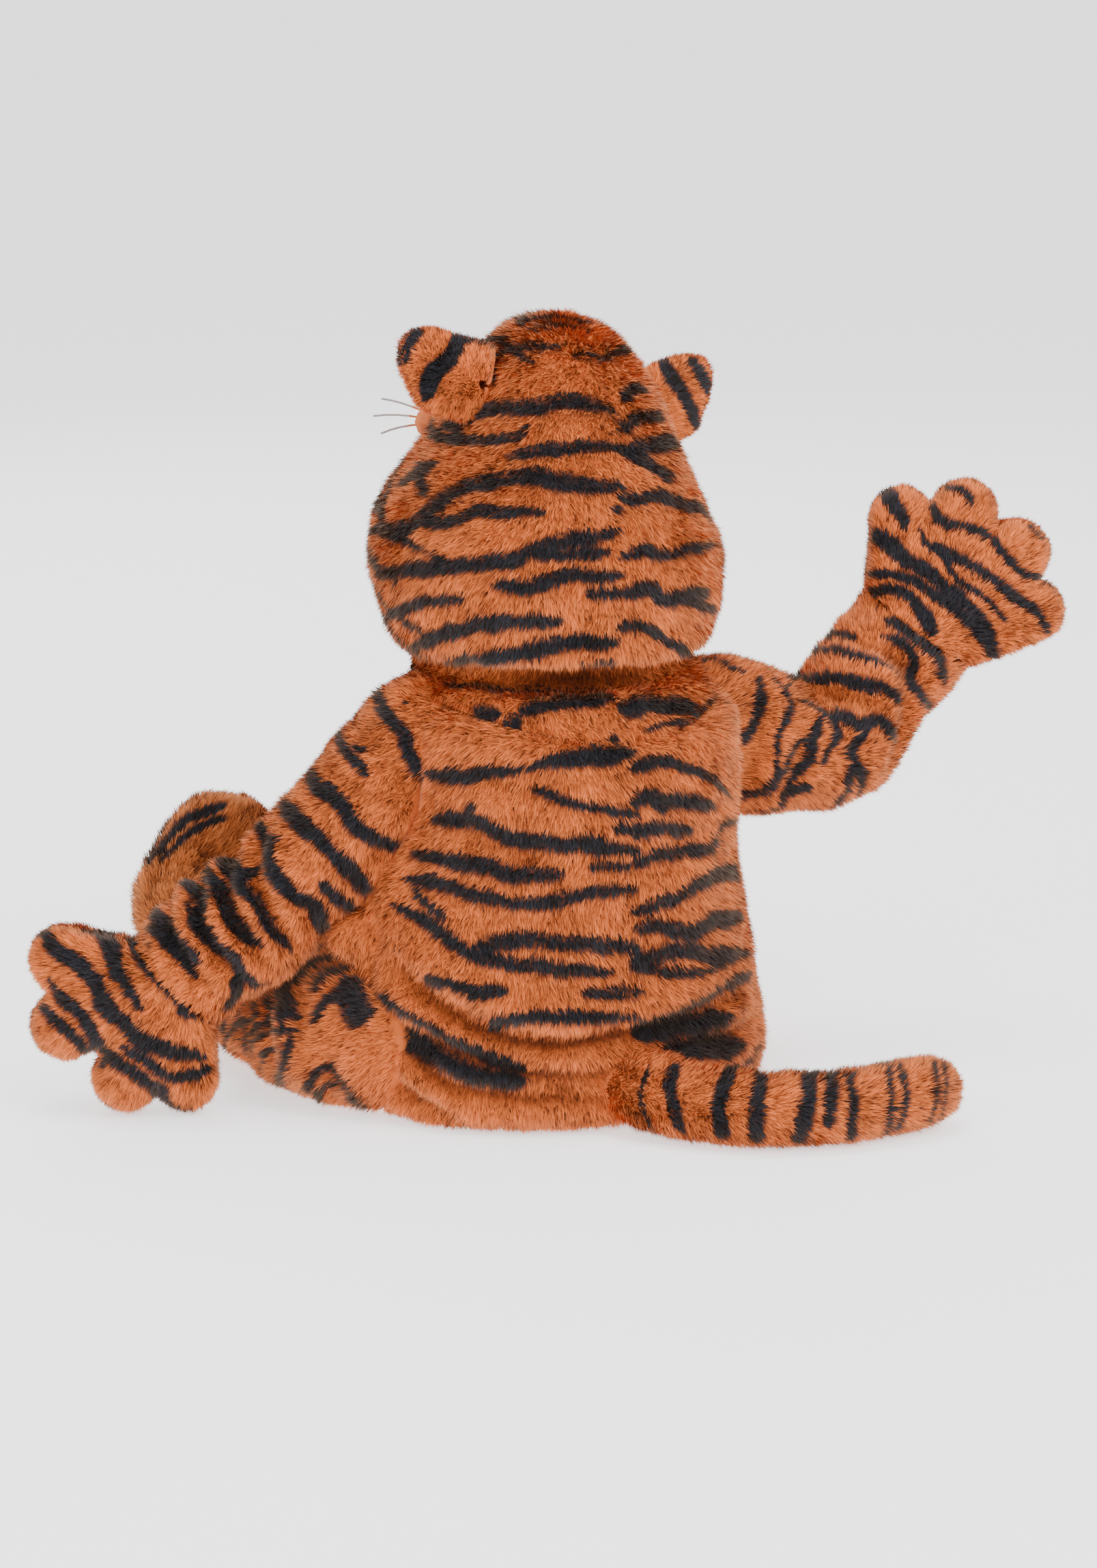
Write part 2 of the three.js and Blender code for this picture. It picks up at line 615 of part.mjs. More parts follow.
function addLeg({ side, sign, rows }) {
  const across = vec(1, 0, 0);
  const surface = limbSurface(rows, { place: legPlace(sign), across, last: vec(0, -1, 0) });
  const tube = wall(surface, {
    round: steps(LEG_COLUMNS), down: rowSteps(rows, 2), depth: () => WALL, size: sizeOf(rows, 'wide'),
    whole: true,
  });
  addPiece(`leg_${side}`, fromManifold(toManifold(tube).subtract(torsoBody)), ORANGE);
  limbHoles.push(lumen(surface, rows, LEG_COLUMNS, LEG_HOLE_INSET));
}

// The upper covers the instep and the sole is the half that faces forwards and down.
function addFoot({ side, sign }) {
  const across = vec(1, 0, 0);
  const surface = limbSurface(FOOT_ROWS, { place: legPlace(sign), across, first: vec(0, -1, 0) });
  const half = (name, from, to, lift) => {
    const shape = wall(surface, {
      round: steps(LEG_COLUMNS / 2, from, to), down: rowSteps(FOOT_ROWS, 1), depth: () => WALL,
      size: sizeOf(FOOT_ROWS, 'wide'),
    });
    addPiece(name, shifted(shape, 0, lift - CUFF_GAP, lift), RUST);
  };
  half(`foot_${side}_upper`, 0, 0.5, SEAM_GAP);
  half(`foot_${side}_sole`, 0.5, 1, 0);
}

// Outline of a mitt along a ray from the wrist: the farthest lobe or the palm, and past the
// outermost lobes a straight edge to the corner of the cuff.
function mittReach(angle, lobes, palm, cuff, inset) {
  const outermost = angle < 0 ? lobes[0] : lobes[lobes.length - 1];
  const middleOf = (lobe) => lobe.reach - lobe.radius;
  const radiusOf = (lobe) => lobe.radius - inset;
  const edgeAngle = turn(Math.abs(outermost.angle)) + Math.asin(radiusOf(outermost) / middleOf(outermost));
  const size = Math.abs(angle);
  if (size > edgeAngle) {
    const touch = Math.sqrt(middleOf(outermost) ** 2 - radiusOf(outermost) ** 2);
    const along = touch * Math.cos(edgeAngle);
    const aside = touch * Math.sin(edgeAngle) - cuff;
    return (cuff * along) / (along * Math.sin(size) - aside * Math.cos(size));
  }
  const reaches = lobes.map((lobe) => {
    const off = angle - turn(lobe.angle);
    const miss = middleOf(lobe) * Math.sin(off);
    if (Math.cos(off) < 0 || Math.abs(miss) >= radiusOf(lobe)) return 0;
    return middleOf(lobe) * Math.cos(off) + Math.sqrt(radiusOf(lobe) ** 2 - miss * miss);
  });
  return Math.max(palm - inset, ...reaches);
}

// One face of a mitt: a fan of rays from the cuff to the lobed outline, crowned between them.
function mittNet(sleeve, inset, facing) {
  const { rows, mitt, lobes, sign } = sleeve;
  const wrist = rows[rows.length - 1];
  const along = armDirection(sign, mitt.pitch);
  const start = armPlace(sign)((name) => wrist[name]).addScaledVector(along, CUFF_GAP);
  const aside = armDirection(sign, mitt.pitch - 90);
  const cuff = wrist.wide - inset;
  const high = wrist.deep - inset;
  const crown = mitt.thick - inset;
  return steps(MITT_RAYS, -Math.PI / 2, Math.PI / 2).map((angle) => {
    const reach = mittReach(angle, lobes, mitt.palm, cuff, inset);
    const root = start.clone().addScaledVector(aside, cuff * Math.sin(angle));
    const tip = start.clone()
      .addScaledVector(along, reach * Math.cos(angle))
      .addScaledVector(aside, reach * Math.sin(angle));
    return MITT_STEPS.map((f) => {
      const level = high + (crown - high) * Math.sin((Math.PI * f) / 2);
      const round = Math.max(Math.cos(angle), 0) ** (1 - MITT_SIDE_ROUND * f);
      const rise = level * round * Math.sqrt(1 - f ** MITT_CROWN);
      return root.clone().lerp(tip, f).addScaledVector(ARM_BACK, facing * (rise + SEAM_GAP / 2));
    });
  });
}

function addMitt(sleeve) {
  [['back', 1], ['palm', -1]].forEach(([face, facing]) => {
    const shape = wallSolid(mittNet(sleeve, 0, facing), mittNet(sleeve, WALL, facing), false);
    addPiece(`mitt_${sleeve.side}_${face}`, shape, ORANGE);
  });
}

// A quarter of the torso, with the holes for the limbs.
function addTorsoPanel(name, from, to, aside, behind) {
  let solid = toManifold(
    shifted(
      wall(torso, {
        round: steps(TORSO_COLUMNS / 4, from, to), down: rowSteps(TORSO_ROWS, 1),
        depth: sizeOf(TORSO_ROWS, 'wall'), size: torsoSize,
      }),
      (aside * SEAM_GAP) / 2, (behind * SEAM_GAP) / 2, 0,
    ),
  );
  limbHoles.forEach((hole) => {
    solid = solid.subtract(hole);
  });
  addPiece(name, fromManifold(solid), ORANGE);
}
function addHood() {
  const shape = new THREE.Shape().absellipse(0, 0, FACE.halfWide, FACE.halfHigh, 0, 2 * Math.PI);
  const cutter = new THREE.ExtrudeGeometry(shape, {
    depth: FACE.deep, bevelEnabled: false, curveSegments: FACE_SEGMENTS,
  });
  cutter.rotateX(Math.PI / 2).translate(0, FACE.behind, FACE.height);
  const opening = toManifold(closedFrom(cutter));
  [['left', -0.25, 0.25, 1], ['right', 0.25, 0.75, -1]].forEach(([side, from, to, sign]) => {
    const half = shifted(
      wall(hood, {
        round: steps(HOOD_COLUMNS / 2, from, to), down: rowSteps(HOOD_ROWS, 1), depth: () => WALL,
        size: hoodSize,
      }),
      (sign * SEAM_GAP) / 2, 0, 0,
    );
    const trimmed = toManifold(half).subtract(torsoBody).subtract(opening);
    addPiece(`hood_${side}`, fromManifold(trimmed), ORANGE);
  });
}

// An ear's two layers, back to back, crowned from the outline to the middle.
function addEar({ side, sign, foot, rise }) {
  const outward = vec(sign * Math.cos(turn(rise)), 0, Math.sin(turn(rise)));
  const along = vec(-sign * Math.sin(turn(rise)), 0, Math.cos(turn(rise)));
  const curve = new THREE.CatmullRomCurve3(EAR_OUTLINE.map((p) => vec(p.out, p.along, 0)));
  const outline = curve.getPoints(EAR_RAYS);
  [['back', 1], ['front', -1]].forEach(([face, facing]) => {
    const rim = outline.map((p) =>
      vec(...foot)
        .addScaledVector(outward, p.x)
        .addScaledVector(along, p.y)
        .add(vec(0, (facing * SEAM_GAP) / 2, 0)),
    );
    const middle = vec(...foot)
      .addScaledVector(outward, -EAR_DEPTH)
      .add(vec(0, (facing * SEAM_GAP) / 2, 0));
    const layer = (thick) =>
      rim.map((point) =>
        EAR_STEPS.map((f) =>
          middle.clone().lerp(point, f).add(vec(0, facing * thick * Math.sqrt(1 - f ** EAR_CROWN), 0)),
        ),
      );
    const solid = toManifold(wallSolid(layer(EAR_THICK), layer(0), false)).subtract(hoodBody);
    addPiece(`ear_${side}_${face}`, fromManifold(solid), ORANGE);
  });
}

// A whisker pad on the front of the hood, with its whiskers sewn through it.
function addWhiskers(side, sign) {
  const { x, z, padWide, padHigh, padDeep, thick, rootOut, rootFore, bowFore, bowUp } = WHISKERS;
  const pad = new THREE.SphereGeometry(1, FACE_SEGMENTS, 8).scale(padWide, padDeep, padHigh);
  pad.deleteAttribute('normal');
  pad.deleteAttribute('uv');
  const middle = vec(sign * x, hoodFront(x, z), z);
  let solid = toManifold(closedFrom(pad).translate(middle.x, middle.y, middle.z));
  WHISKER_ROWS.forEach(({ out, rise, fore }) => {
    const root = middle.clone().add(vec(sign * rootOut, -rootFore, rise / 4));
    const tip = middle.clone().add(vec(sign * out, fore, rise));
    const bow = root.clone().lerp(tip, 0.5).add(vec(0, -bowFore, bowUp));
    const curve = new THREE.QuadraticBezierCurve3(root, bow, tip);
    const section = new THREE.Shape([0, 1, 2].map((k) => {
      const angle = (k * 2 * Math.PI) / 3;
      return new THREE.Vector2(thick * Math.cos(angle), thick * Math.sin(angle));
    }));
    const strand = new THREE.ExtrudeGeometry(section, { steps: WHISKER_STEPS, extrudePath: curve });
    solid = solid.add(toManifold(closedFrom(strand)));
  });
  addPiece(`whiskers_${side}`, fromManifold(solid.subtract(hoodBody)), WHISKER_GREY);
}

function addTail() {
  const surface = limbSurface(TAIL_ROWS, { place: groundPlace, across: UP });
  const body = filled(surface, {
    columns: TAIL_COLUMNS, down: rowSteps(TAIL_ROWS, 2.5), depth: 0, size: sizeOf(TAIL_ROWS, 'wide'),
  });
  addPiece('tail', fromManifold(toManifold(body).subtract(torsoBody)), ORANGE);
}

// ---------------------------------------------------------------- assembly

SLEEVES.forEach(addSleeve);
LEGS.forEach(addLeg);
LEGS.forEach(addFoot);
SLEEVES.forEach(addMitt);
addTorsoPanel('back_left', 0, 0.25, 1, 1);
addTorsoPanel('back_right', 0.25, 0.5, -1, 1);
addTorsoPanel('front_right', 0.5, 0.75, -1, -1);
addTorsoPanel('front_left', 0.75, 1, 1, -1);
addHood();
EARS.forEach(addEar);
addTail();
addWhiskers('left', 1);
addWhiskers('right', -1);

pieces.position.set(0, 0, -HOLD_HEIGHT);
const costume = new THREE.Group();
costume.add(pieces);

export default costume;
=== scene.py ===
"""The looks of a baby's plush tiger costume: thin cloth shells with their creases, the pile that
stands on them, the stripes, the whiskers and the stuffed tail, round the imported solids.

The tables are those of the solids: millimetres, with heights above the ground that the wearer
sits on. `world` turns them into the frame, whose origin is between the shoulders."""

import bmesh
import bpy
import numpy as np
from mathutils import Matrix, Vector
from mathutils.bvhtree import BVHTree

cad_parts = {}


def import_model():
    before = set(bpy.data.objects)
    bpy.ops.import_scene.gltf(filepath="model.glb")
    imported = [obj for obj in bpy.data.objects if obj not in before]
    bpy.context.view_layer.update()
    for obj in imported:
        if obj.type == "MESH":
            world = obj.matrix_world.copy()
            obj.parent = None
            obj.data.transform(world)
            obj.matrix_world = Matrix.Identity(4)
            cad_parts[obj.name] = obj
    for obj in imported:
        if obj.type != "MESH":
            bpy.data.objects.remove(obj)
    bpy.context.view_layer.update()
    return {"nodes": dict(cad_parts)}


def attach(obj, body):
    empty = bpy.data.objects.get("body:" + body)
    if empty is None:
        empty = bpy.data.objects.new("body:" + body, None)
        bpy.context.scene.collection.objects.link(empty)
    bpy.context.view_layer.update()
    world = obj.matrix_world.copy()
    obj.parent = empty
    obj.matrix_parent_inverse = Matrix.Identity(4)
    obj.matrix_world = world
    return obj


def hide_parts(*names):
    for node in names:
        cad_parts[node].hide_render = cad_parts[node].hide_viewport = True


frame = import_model()

# ---------------------------------------------------------------- driving sizes

MM = 0.001
HOLD_HEIGHT = 250
PILE_DEPTH = 3.2  # how far the cloth's backing lies under the surface of its solid
BACKING = 1.8  # how thick the backing is
SEAM_GAP = 0.3  # between the two layers of a mitt or an ear
CUFF_GAP = 0.8  # between a sleeve and its mitt
ARM_TURN = 25  # degrees that the arms reach back
CLEAR = 0.3  # the lowest that the pile reaches above the ground
FACE_REACH = 0.9  # from here to the face's edge, which is 1, the net is moved to the edge
FACE = {"height": 335, "half_wide": 58, "half_high": 54, "behind": -40}
FUR_SHARE = 1.0
SEED = 11
STRIPE_SEED = 3
FAR = 99.0  # stands for a distance out of reach

# ---------------------------------------------------------------- tables


def table(columns, *rows):
    """A table as one array a column, named."""
    return dict(zip(columns.split(), np.array(rows, float).T))


TORSO = table(
    "back side front half rear fore shift",
    (241, 256, 224, 92, 112, -84, 0),  # neckline
    (231, 240, 208, 106, 117, -96, 0),  # shoulder
    (209, 214, 190, 110, 119, -106, 0),  # chest
    (181, 192, 165, 111, 119, -112, 1),  # ribs
    (150, 168, 135, 116, 118, -117, 5),  # waist
    (112, 146, 110, 122, 118, -119, 8),  # belly
    (74, 130, 92, 126, 121, -119, 8),  # overhang
    (60, 116, 80, 128, 119, -118, 8),  # fold 1
    (52, 103, 68, 130, 118, -116, 7),  # roll 1
    (44, 90, 58, 131, 118, -114, 6),  # fold 2
    (36, 75, 48, 132, 117, -112, 5),  # roll 2
    (29, 58, 38, 133, 117, -110, 3),  # fold 3
    (16, 34, 22, 135, 115, -106, 1),  # seat
    (4, 8, 6, 129, 107, -98, 0),  # under
    (0, 0, 0, 116, 95, -86, 0),  # ground edge
    (0, 0, 0, 0, 4, 4, 0),  # crotch
)
HOOD = table(
    "back side front half rear fore shift lean",
    (241, 256, 224, 92, 112, -84, 0, 0),  # neckline
    (260, 266, 240, 89, 100, -92, 0, 0),  # yoke
    (276, 274, 260, 84, 86, -101, 0, 0),  # crease
    (284, 283, 272, 95, 95, -109, 0, 0.02),  # nape
    (301, 301, 297, 103, 99, -121, 0, 0.05),  # jowl
    (323, 323, 322, 107, 101, -129, 0, 0.08),  # cheek
    (345, 345, 345, 105, 99, -130, -2, 0.1),  # temple
    (370, 370, 370, 93, 94, -126, -5, 0.12),  # brow
    (399, 399, 399, 74, 84, -117, -9, 0.12),  # ear base
    (423, 423, 423, 62, 70, -103, -10, 0.12),  # ear top
    (445, 445, 445, 52, 53, -87, -11, 0.12),  # crown
    (463, 463, 463, 38.5, 32, -68, -13, 0.12),  # cap
    (475, 475, 475, 23, 8, -46, -14, 0.12),  # cap edge
    (480, 480, 480, 0, -19, -19, -14, 0.12),  # top
)
LEFT_SLEEVE = table(
    "out back up wide deep",
    (42, 26, 224, 40, 38),  # in the body
    (71, 35, 221, 49, 42),  # shoulder
    (98, 41, 203, 43, 42),  # sleeve head
    (121, 45, 177, 42, 41),  # upper arm
    (146, 49, 153, 40, 39),  # above the elbow
    (162, 52, 139, 37, 37),  # elbow
    (183, 56, 119, 40, 37),  # forearm
    (208, 60, 102.5, 40, 36),  # gathers
    (228, 64, 84, 35, 30),  # wrist
)
RIGHT_SLEEVE = table(
    "out back up wide deep",
    (62, -24, 214, 44, 38),  # in the body
    (99, -36, 215, 50, 42),  # shoulder
    (129, -45, 209, 46, 42),  # sleeve head
    (158, -54, 204, 41, 41),  # upper arm
    (178, -60, 211, 43, 40),  # elbow
    (187, -64, 225, 41, 38),  # past the elbow
    (200, -70, 244, 40, 37),  # forearm
    (215, -76, 257.5, 40, 35),  # gathers
    (227, -80, 274, 41, 30),  # wrist
)
GATHERS = {
    "left": {"count": 5, "start": 0.56, "end": 0.98, "depth": 1.5, "slant": 0.5},
    "right": {"count": 3, "start": 0.3, "end": 0.62, "depth": 1.5, "slant": 0.9},
}
LEFT_LEG = table(
    "x y z wide deep",
    (60, 0, 50, 46, 50),  # in the body
    (99, 0, 48, 54, 51),  # hip
    (122, -28, 45, 61, 50),  # seat side
    (128, -72, 42, 58, 47),  # thigh
    (127, -130, 40, 56, 43),  # knee
    (124, -190, 38, 49, 40),  # calf
    (118, -245, 36.5, 44, 37),  # shin
    (112, -285, 35, 41, 35),  # ankle
)
RIGHT_LEG = table(
    "x y z wide deep",
    (38, 4, 50, 48, 50),
    (74, -10, 48, 54, 50),
    (98, -45, 45, 58, 49),
    (112, -85, 42, 59, 47),
    (118, -135, 40, 56, 43),
    (119, -190, 38, 49, 40),
    (116, -245, 36.5, 44, 37),
    (112, -285, 35, 41, 35),
)
FOOT = table(
    "x y z wide deep",
    (112, -285, 35, 41, 35),  # ankle
    (113, -307, 39, 44, 37),  # heel
    (113, -323, 51, 49, 36),  # arch
    (104, -331, 69.5, 48, 31),  # instep
    (93, -333, 90.5, 47, 28),  # ball
    (85, -333, 109.5, 38, 24),  # toes
    (79, -332, 121.5, 23, 16),  # toe end
    (77, -332, 127, 0, 0),  # tip
)
TAIL = table(
    "x y z wide deep",
    (6, 94, 30, 23, 22),  # in the seat
    (-5, 120, 28, 24.5, 24),  # root
    (-26, 150, 24.5, 23.5, 23.5),  # turn
    (-62, 178, 23, 22.5, 22.5),  # bend
    (-108, 188, 22.5, 21.8, 21.8),  # run
    (-147, 185, 23.2, 21.7, 21.7),  # end
    (-173, 177, 24, 17, 17),  # tip edge
    (-185, 172, 24.5, 0, 0),  # tip
)
MITTS = {
    "left": {"pitch": -43, "palm": 68, "thick": 28},
    "right": {"pitch": 54, "palm": 76, "thick": 28},
}
MITT_CROWN = 2.6  # the higher, the nearer to its outline a mitt stays thick
MITT_SIDE_ROUND = 0.55  # the higher, the fuller a mitt's sides are
LOBES = {
    "left": table("angle reach radius", (-54, 92, 21), (-21, 96, 21), (19, 91, 21), (51, 82.5, 19)),
    "right": table(
        "angle reach radius", (-44.5, 92, 20), (-14.5, 102, 21), (16, 102, 21), (45, 95, 20)
    ),
}
EAR_THICK = 8
EAR_DEPTH = 26  # how far an ear's root reaches into the hood
EAR_CROWN = 2.5  # the higher, the nearer to its outline an ear stays thick
EAR_OUTLINE = table(
    "out along",
    (-EAR_DEPTH, -26),
    (10, -24),
    (23, -15),
    (33, -3),
    (37, 8),
    (36, 16),
    (27, 23),
    (12, 26),
    (-EAR_DEPTH, 26),
)
EARS = {
    "left": {"foot": (69, -4, 446), "rise": 17},
    "right": {"foot": (-77, -4, 421), "rise": 22},
}
SIGN = {"left": 1, "right": -1}
SLEEVE_ROWS = {"left": LEFT_SLEEVE, "right": RIGHT_SLEEVE}
SLEEVE_UPRIGHT = {"left": 50, "right": 115}
LEG_ROWS = {"left": LEFT_LEG, "right": RIGHT_LEG}

# ---------------------------------------------------------------- curves and surfaces

ACROSS, BACK, UP = np.eye(3)
ARM_SIDE = np.array([np.cos(np.radians(ARM_TURN)), -np.sin(np.radians(ARM_TURN)), 0.0])
ARM_BACK = np.array([np.sin(np.radians(ARM_TURN)), np.cos(np.radians(ARM_TURN)), 0.0])


def unit(vectors):
    return vectors / np.maximum(np.linalg.norm(vectors, axis=-1, keepdims=True), 1e-9)


def dot(a, b):
    return (a * b).sum(-1)


def smooth(x, low, high):
    f = np.clip((x - low) / (high - low), 0, 1)
    return f * f * (3 - 2 * f)


def column(values, t):
    """One column of a table at t, from 0 at its first row to 1 at its last, without overshoot."""
    last = len(values) - 1
    place = np.clip(t, 0, 1) * last
    i = np.minimum(place.astype(int), last - 1)
    step = np.diff(values)
    before, after = step[:-1], step[1:]
    total = np.where(before + after == 0, 1, before + after)
    inner = np.where(before * after > 0, 2 * before * after / total, 0)
    slope = np.concatenate([step[:1], inner, step[-1:]])
    f = place - i
    f2, f3 = f * f, f * f * f
    low, high = values[i], values[i + 1]
    return (
        (2 * f3 - 3 * f2 + 1) * low
        + (f3 - 2 * f2 + f) * slope[i]
        + (3 * f2 - 2 * f3) * high
        + (f3 - f2) * slope[i + 1]
    )


def body_surface(rows):
    """Rings round the upright axis; u goes round once, from the wearer's left by the back."""

    def surface(u, t):
        def get(name):
            return column(rows[name], t) if name in rows else 0.0

        c, s = np.cos(2 * np.pi * u), np.sin(2 * np.pi * u)
        end = np.where(s > 0, get("back"), get("front"))
        x = get("half") * c
        deep = (get("rear") - get("fore")) / 2
        y = (get("rear") + get("fore")) / 2 + deep * s
        z = get("side") + (end - get("side")) * s * s + get("lean") * x
        return np.stack([get("shift") + x, y, z], -1)

    return surface


def limb_surface(rows, place, across, wrinkle=None, first=None, last=None):
    """Rings across a path, flat on the ground where they would reach below it."""
    near = 0.05

    def middle(t):
        return place(lambda name: column(rows[name], t)[..., None])

    def surface(u, t):
        along = unit(middle(np.minimum(t + near, 1)) - middle(np.maximum(t - near, 0)))
        if first is not None:
            along = unit(along + (first - along) * (1 - smooth(t, 0, 0.15))[..., None])
        if last is not None:
            along = unit(along + (last - along) * smooth(t, 0.7, 1)[..., None])
        wide_axis = unit(across - along * dot(along, across)[..., None])
        deep_axis = np.cross(along, wide_axis)
        cut = wrinkle(u, t) if wrinkle else 0.0
        wide = np.maximum(column(rows["wide"], t) - cut, 0) * np.cos(2 * np.pi * u)
        deep = np.maximum(column(rows["deep"], t) - cut, 0) * np.sin(2 * np.pi * u)
        points = middle(t) + wide_axis * wide[..., None] + deep_axis * deep[..., None]
        points[..., 2] = np.maximum(points[..., 2], 0)
        return points

    return surface


def arm_direction(sign, degrees):
    angle = np.radians(degrees)
    return ARM_SIDE * sign * np.cos(angle) + UP * np.sin(angle)


def arm_place(sign):
    return lambda get: ARM_SIDE * sign * get("out") + ARM_BACK * get("back") + UP * get("up")


def ground_place(sign):
    return lambda get: np.concatenate([sign * get("x"), get("y"), get("z")], -1)


def gather(count, start, end, depth, slant):
    def wrinkle(u, t):
        along = (t - start) / (end - start)
        fade = np.minimum(smooth(along, 0, 0.15), 1 - smooth(along, 0.9, 1))
        turns = count * along + slant * np.cos(2 * np.pi * u)
        return depth * fade * (0.5 - 0.5 * np.cos(2 * np.pi * turns))

    return wrinkle


def sleeve_surface(side):
    return limb_surface(
        SLEEVE_ROWS[side],
        arm_place(SIGN[side]),
        arm_direction(SIGN[side], SLEEVE_UPRIGHT[side]),
        wrinkle=gather(**GATHERS[side]),
        last=arm_direction(SIGN[side], MITTS[side]["pitch"]),
    )


def leg_surface(side):
    return limb_surface(LEG_ROWS[side], ground_place(SIGN[side]), ACROSS, last=-BACK)


def foot_surface(side):
    return limb_surface(FOOT, ground_place(SIGN[side]), ACROSS, first=-BACK)


def mitt_reach(angle, lobes, palm, cuff):
    """Outline of a mitt along a ray from the wrist, as on its solid."""
    centre = lobes["reach"] - lobes["radius"]
    outer = np.where(angle < 0, 0, len(centre) - 1)
    radius = lobes["radius"][outer]
    edge = np.radians(np.abs(lobes["angle"][outer])) + np.arcsin(radius / centre[outer])
    touch = np.sqrt(centre[outer] ** 2 - radius**2)
    size = np.abs(angle)
    along, aside = touch * np.cos(edge), touch * np.sin(edge) - cuff
    straight = (cuff * along) / np.maximum(along * np.sin(size) - aside * np.cos(size), 1e-6)
    reach = np.full_like(angle, palm)
    for k in range(len(centre)):
        off = angle - np.radians(lobes["angle"][k])
        miss = centre[k] * np.sin(off)
        inside = lobes["radius"][k] ** 2 - miss * miss
        hit = centre[k] * np.cos(off) + np.sqrt(np.maximum(inside, 0))
        reach = np.where((inside > 0) & (np.cos(off) > 0), np.maximum(reach, hit), reach)
    return np.where(size > edge, straight, reach)


def mitt_surface(side, facing):
    """One face of a mitt; u goes round its outline and t from the cuff to the outline."""
    sign, mitt, lobes = SIGN[side], MITTS[side], LOBES[side]
    wrist = {name: values[-1:] for name, values in SLEEVE_ROWS[side].items()}
    along = arm_direction(sign, mitt["pitch"])
    aside = arm_direction(sign, mitt["pitch"] - 90)
    start = arm_place(sign)(lambda name: wrist[name]) + along * CUFF_GAP

    def surface(u, t):
        angle = (u - 0.5) * np.pi
        cuff, high = wrist["wide"][0], wrist["deep"][0]
        reach = mitt_reach(angle, lobes, mitt["palm"], cuff)[..., None]
        s, c = np.sin(angle)[..., None], np.cos(angle)[..., None]
        root = start + aside * cuff * s
        tip = start + along * reach * c + aside * reach * s
        level = high + (mitt["thick"] - high) * np.sin(np.pi * t / 2)
        rounding = np.maximum(np.cos(angle), 0) ** (1 - MITT_SIDE_ROUND * t)
        rise = level * rounding * np.sqrt(np.maximum(1 - t**MITT_CROWN, 0))
        points = root + (tip - root) * t[..., None]
        return points + ARM_BACK * (facing * (rise + SEAM_GAP / 2))[..., None]

    return surface


def ear_surface(side, facing):
    """One layer of an ear; u goes round its outline and t from the foot to the outline."""
    sign, foot = SIGN[side], np.array(EARS[side]["foot"], float)
    angle = np.radians(EARS[side]["rise"])
    outward = np.array([sign * np.cos(angle), 0, np.sin(angle)])
    along = np.array([-sign * np.sin(angle), 0, np.cos(angle)])
    shift = np.array([0, facing * SEAM_GAP / 2, 0])

    def surface(u, t):
        out = column(EAR_OUTLINE["out"], u)[..., None]
        aside = column(EAR_OUTLINE["along"], u)[..., None]
        rim = foot + outward * out + along * aside + shift
        middle = foot - outward * EAR_DEPTH + shift
        thick = facing * EAR_THICK * np.sqrt(np.maximum(1 - t**EAR_CROWN, 0))
        return middle + (rim - middle) * t[..., None] + BACK * thick[..., None]

    return surface


def world(points):
    return (points - np.array([0, 0, HOLD_HEIGHT])) * MM


# ---------------------------------------------------------------- nets of points

torso = body_surface(TORSO)
hood = body_surface(HOOD)


def grid_faces(rows, columns, used):
    i, j = np.meshgrid(np.arange(rows - 1), np.arange(columns - 1), indexing="ij")
    corner = (i * columns + j).ravel()
    faces = np.stack([corner, corner + 1, corner + columns + 1, corner + columns], -1)
    return faces[used[faces].any(1)]


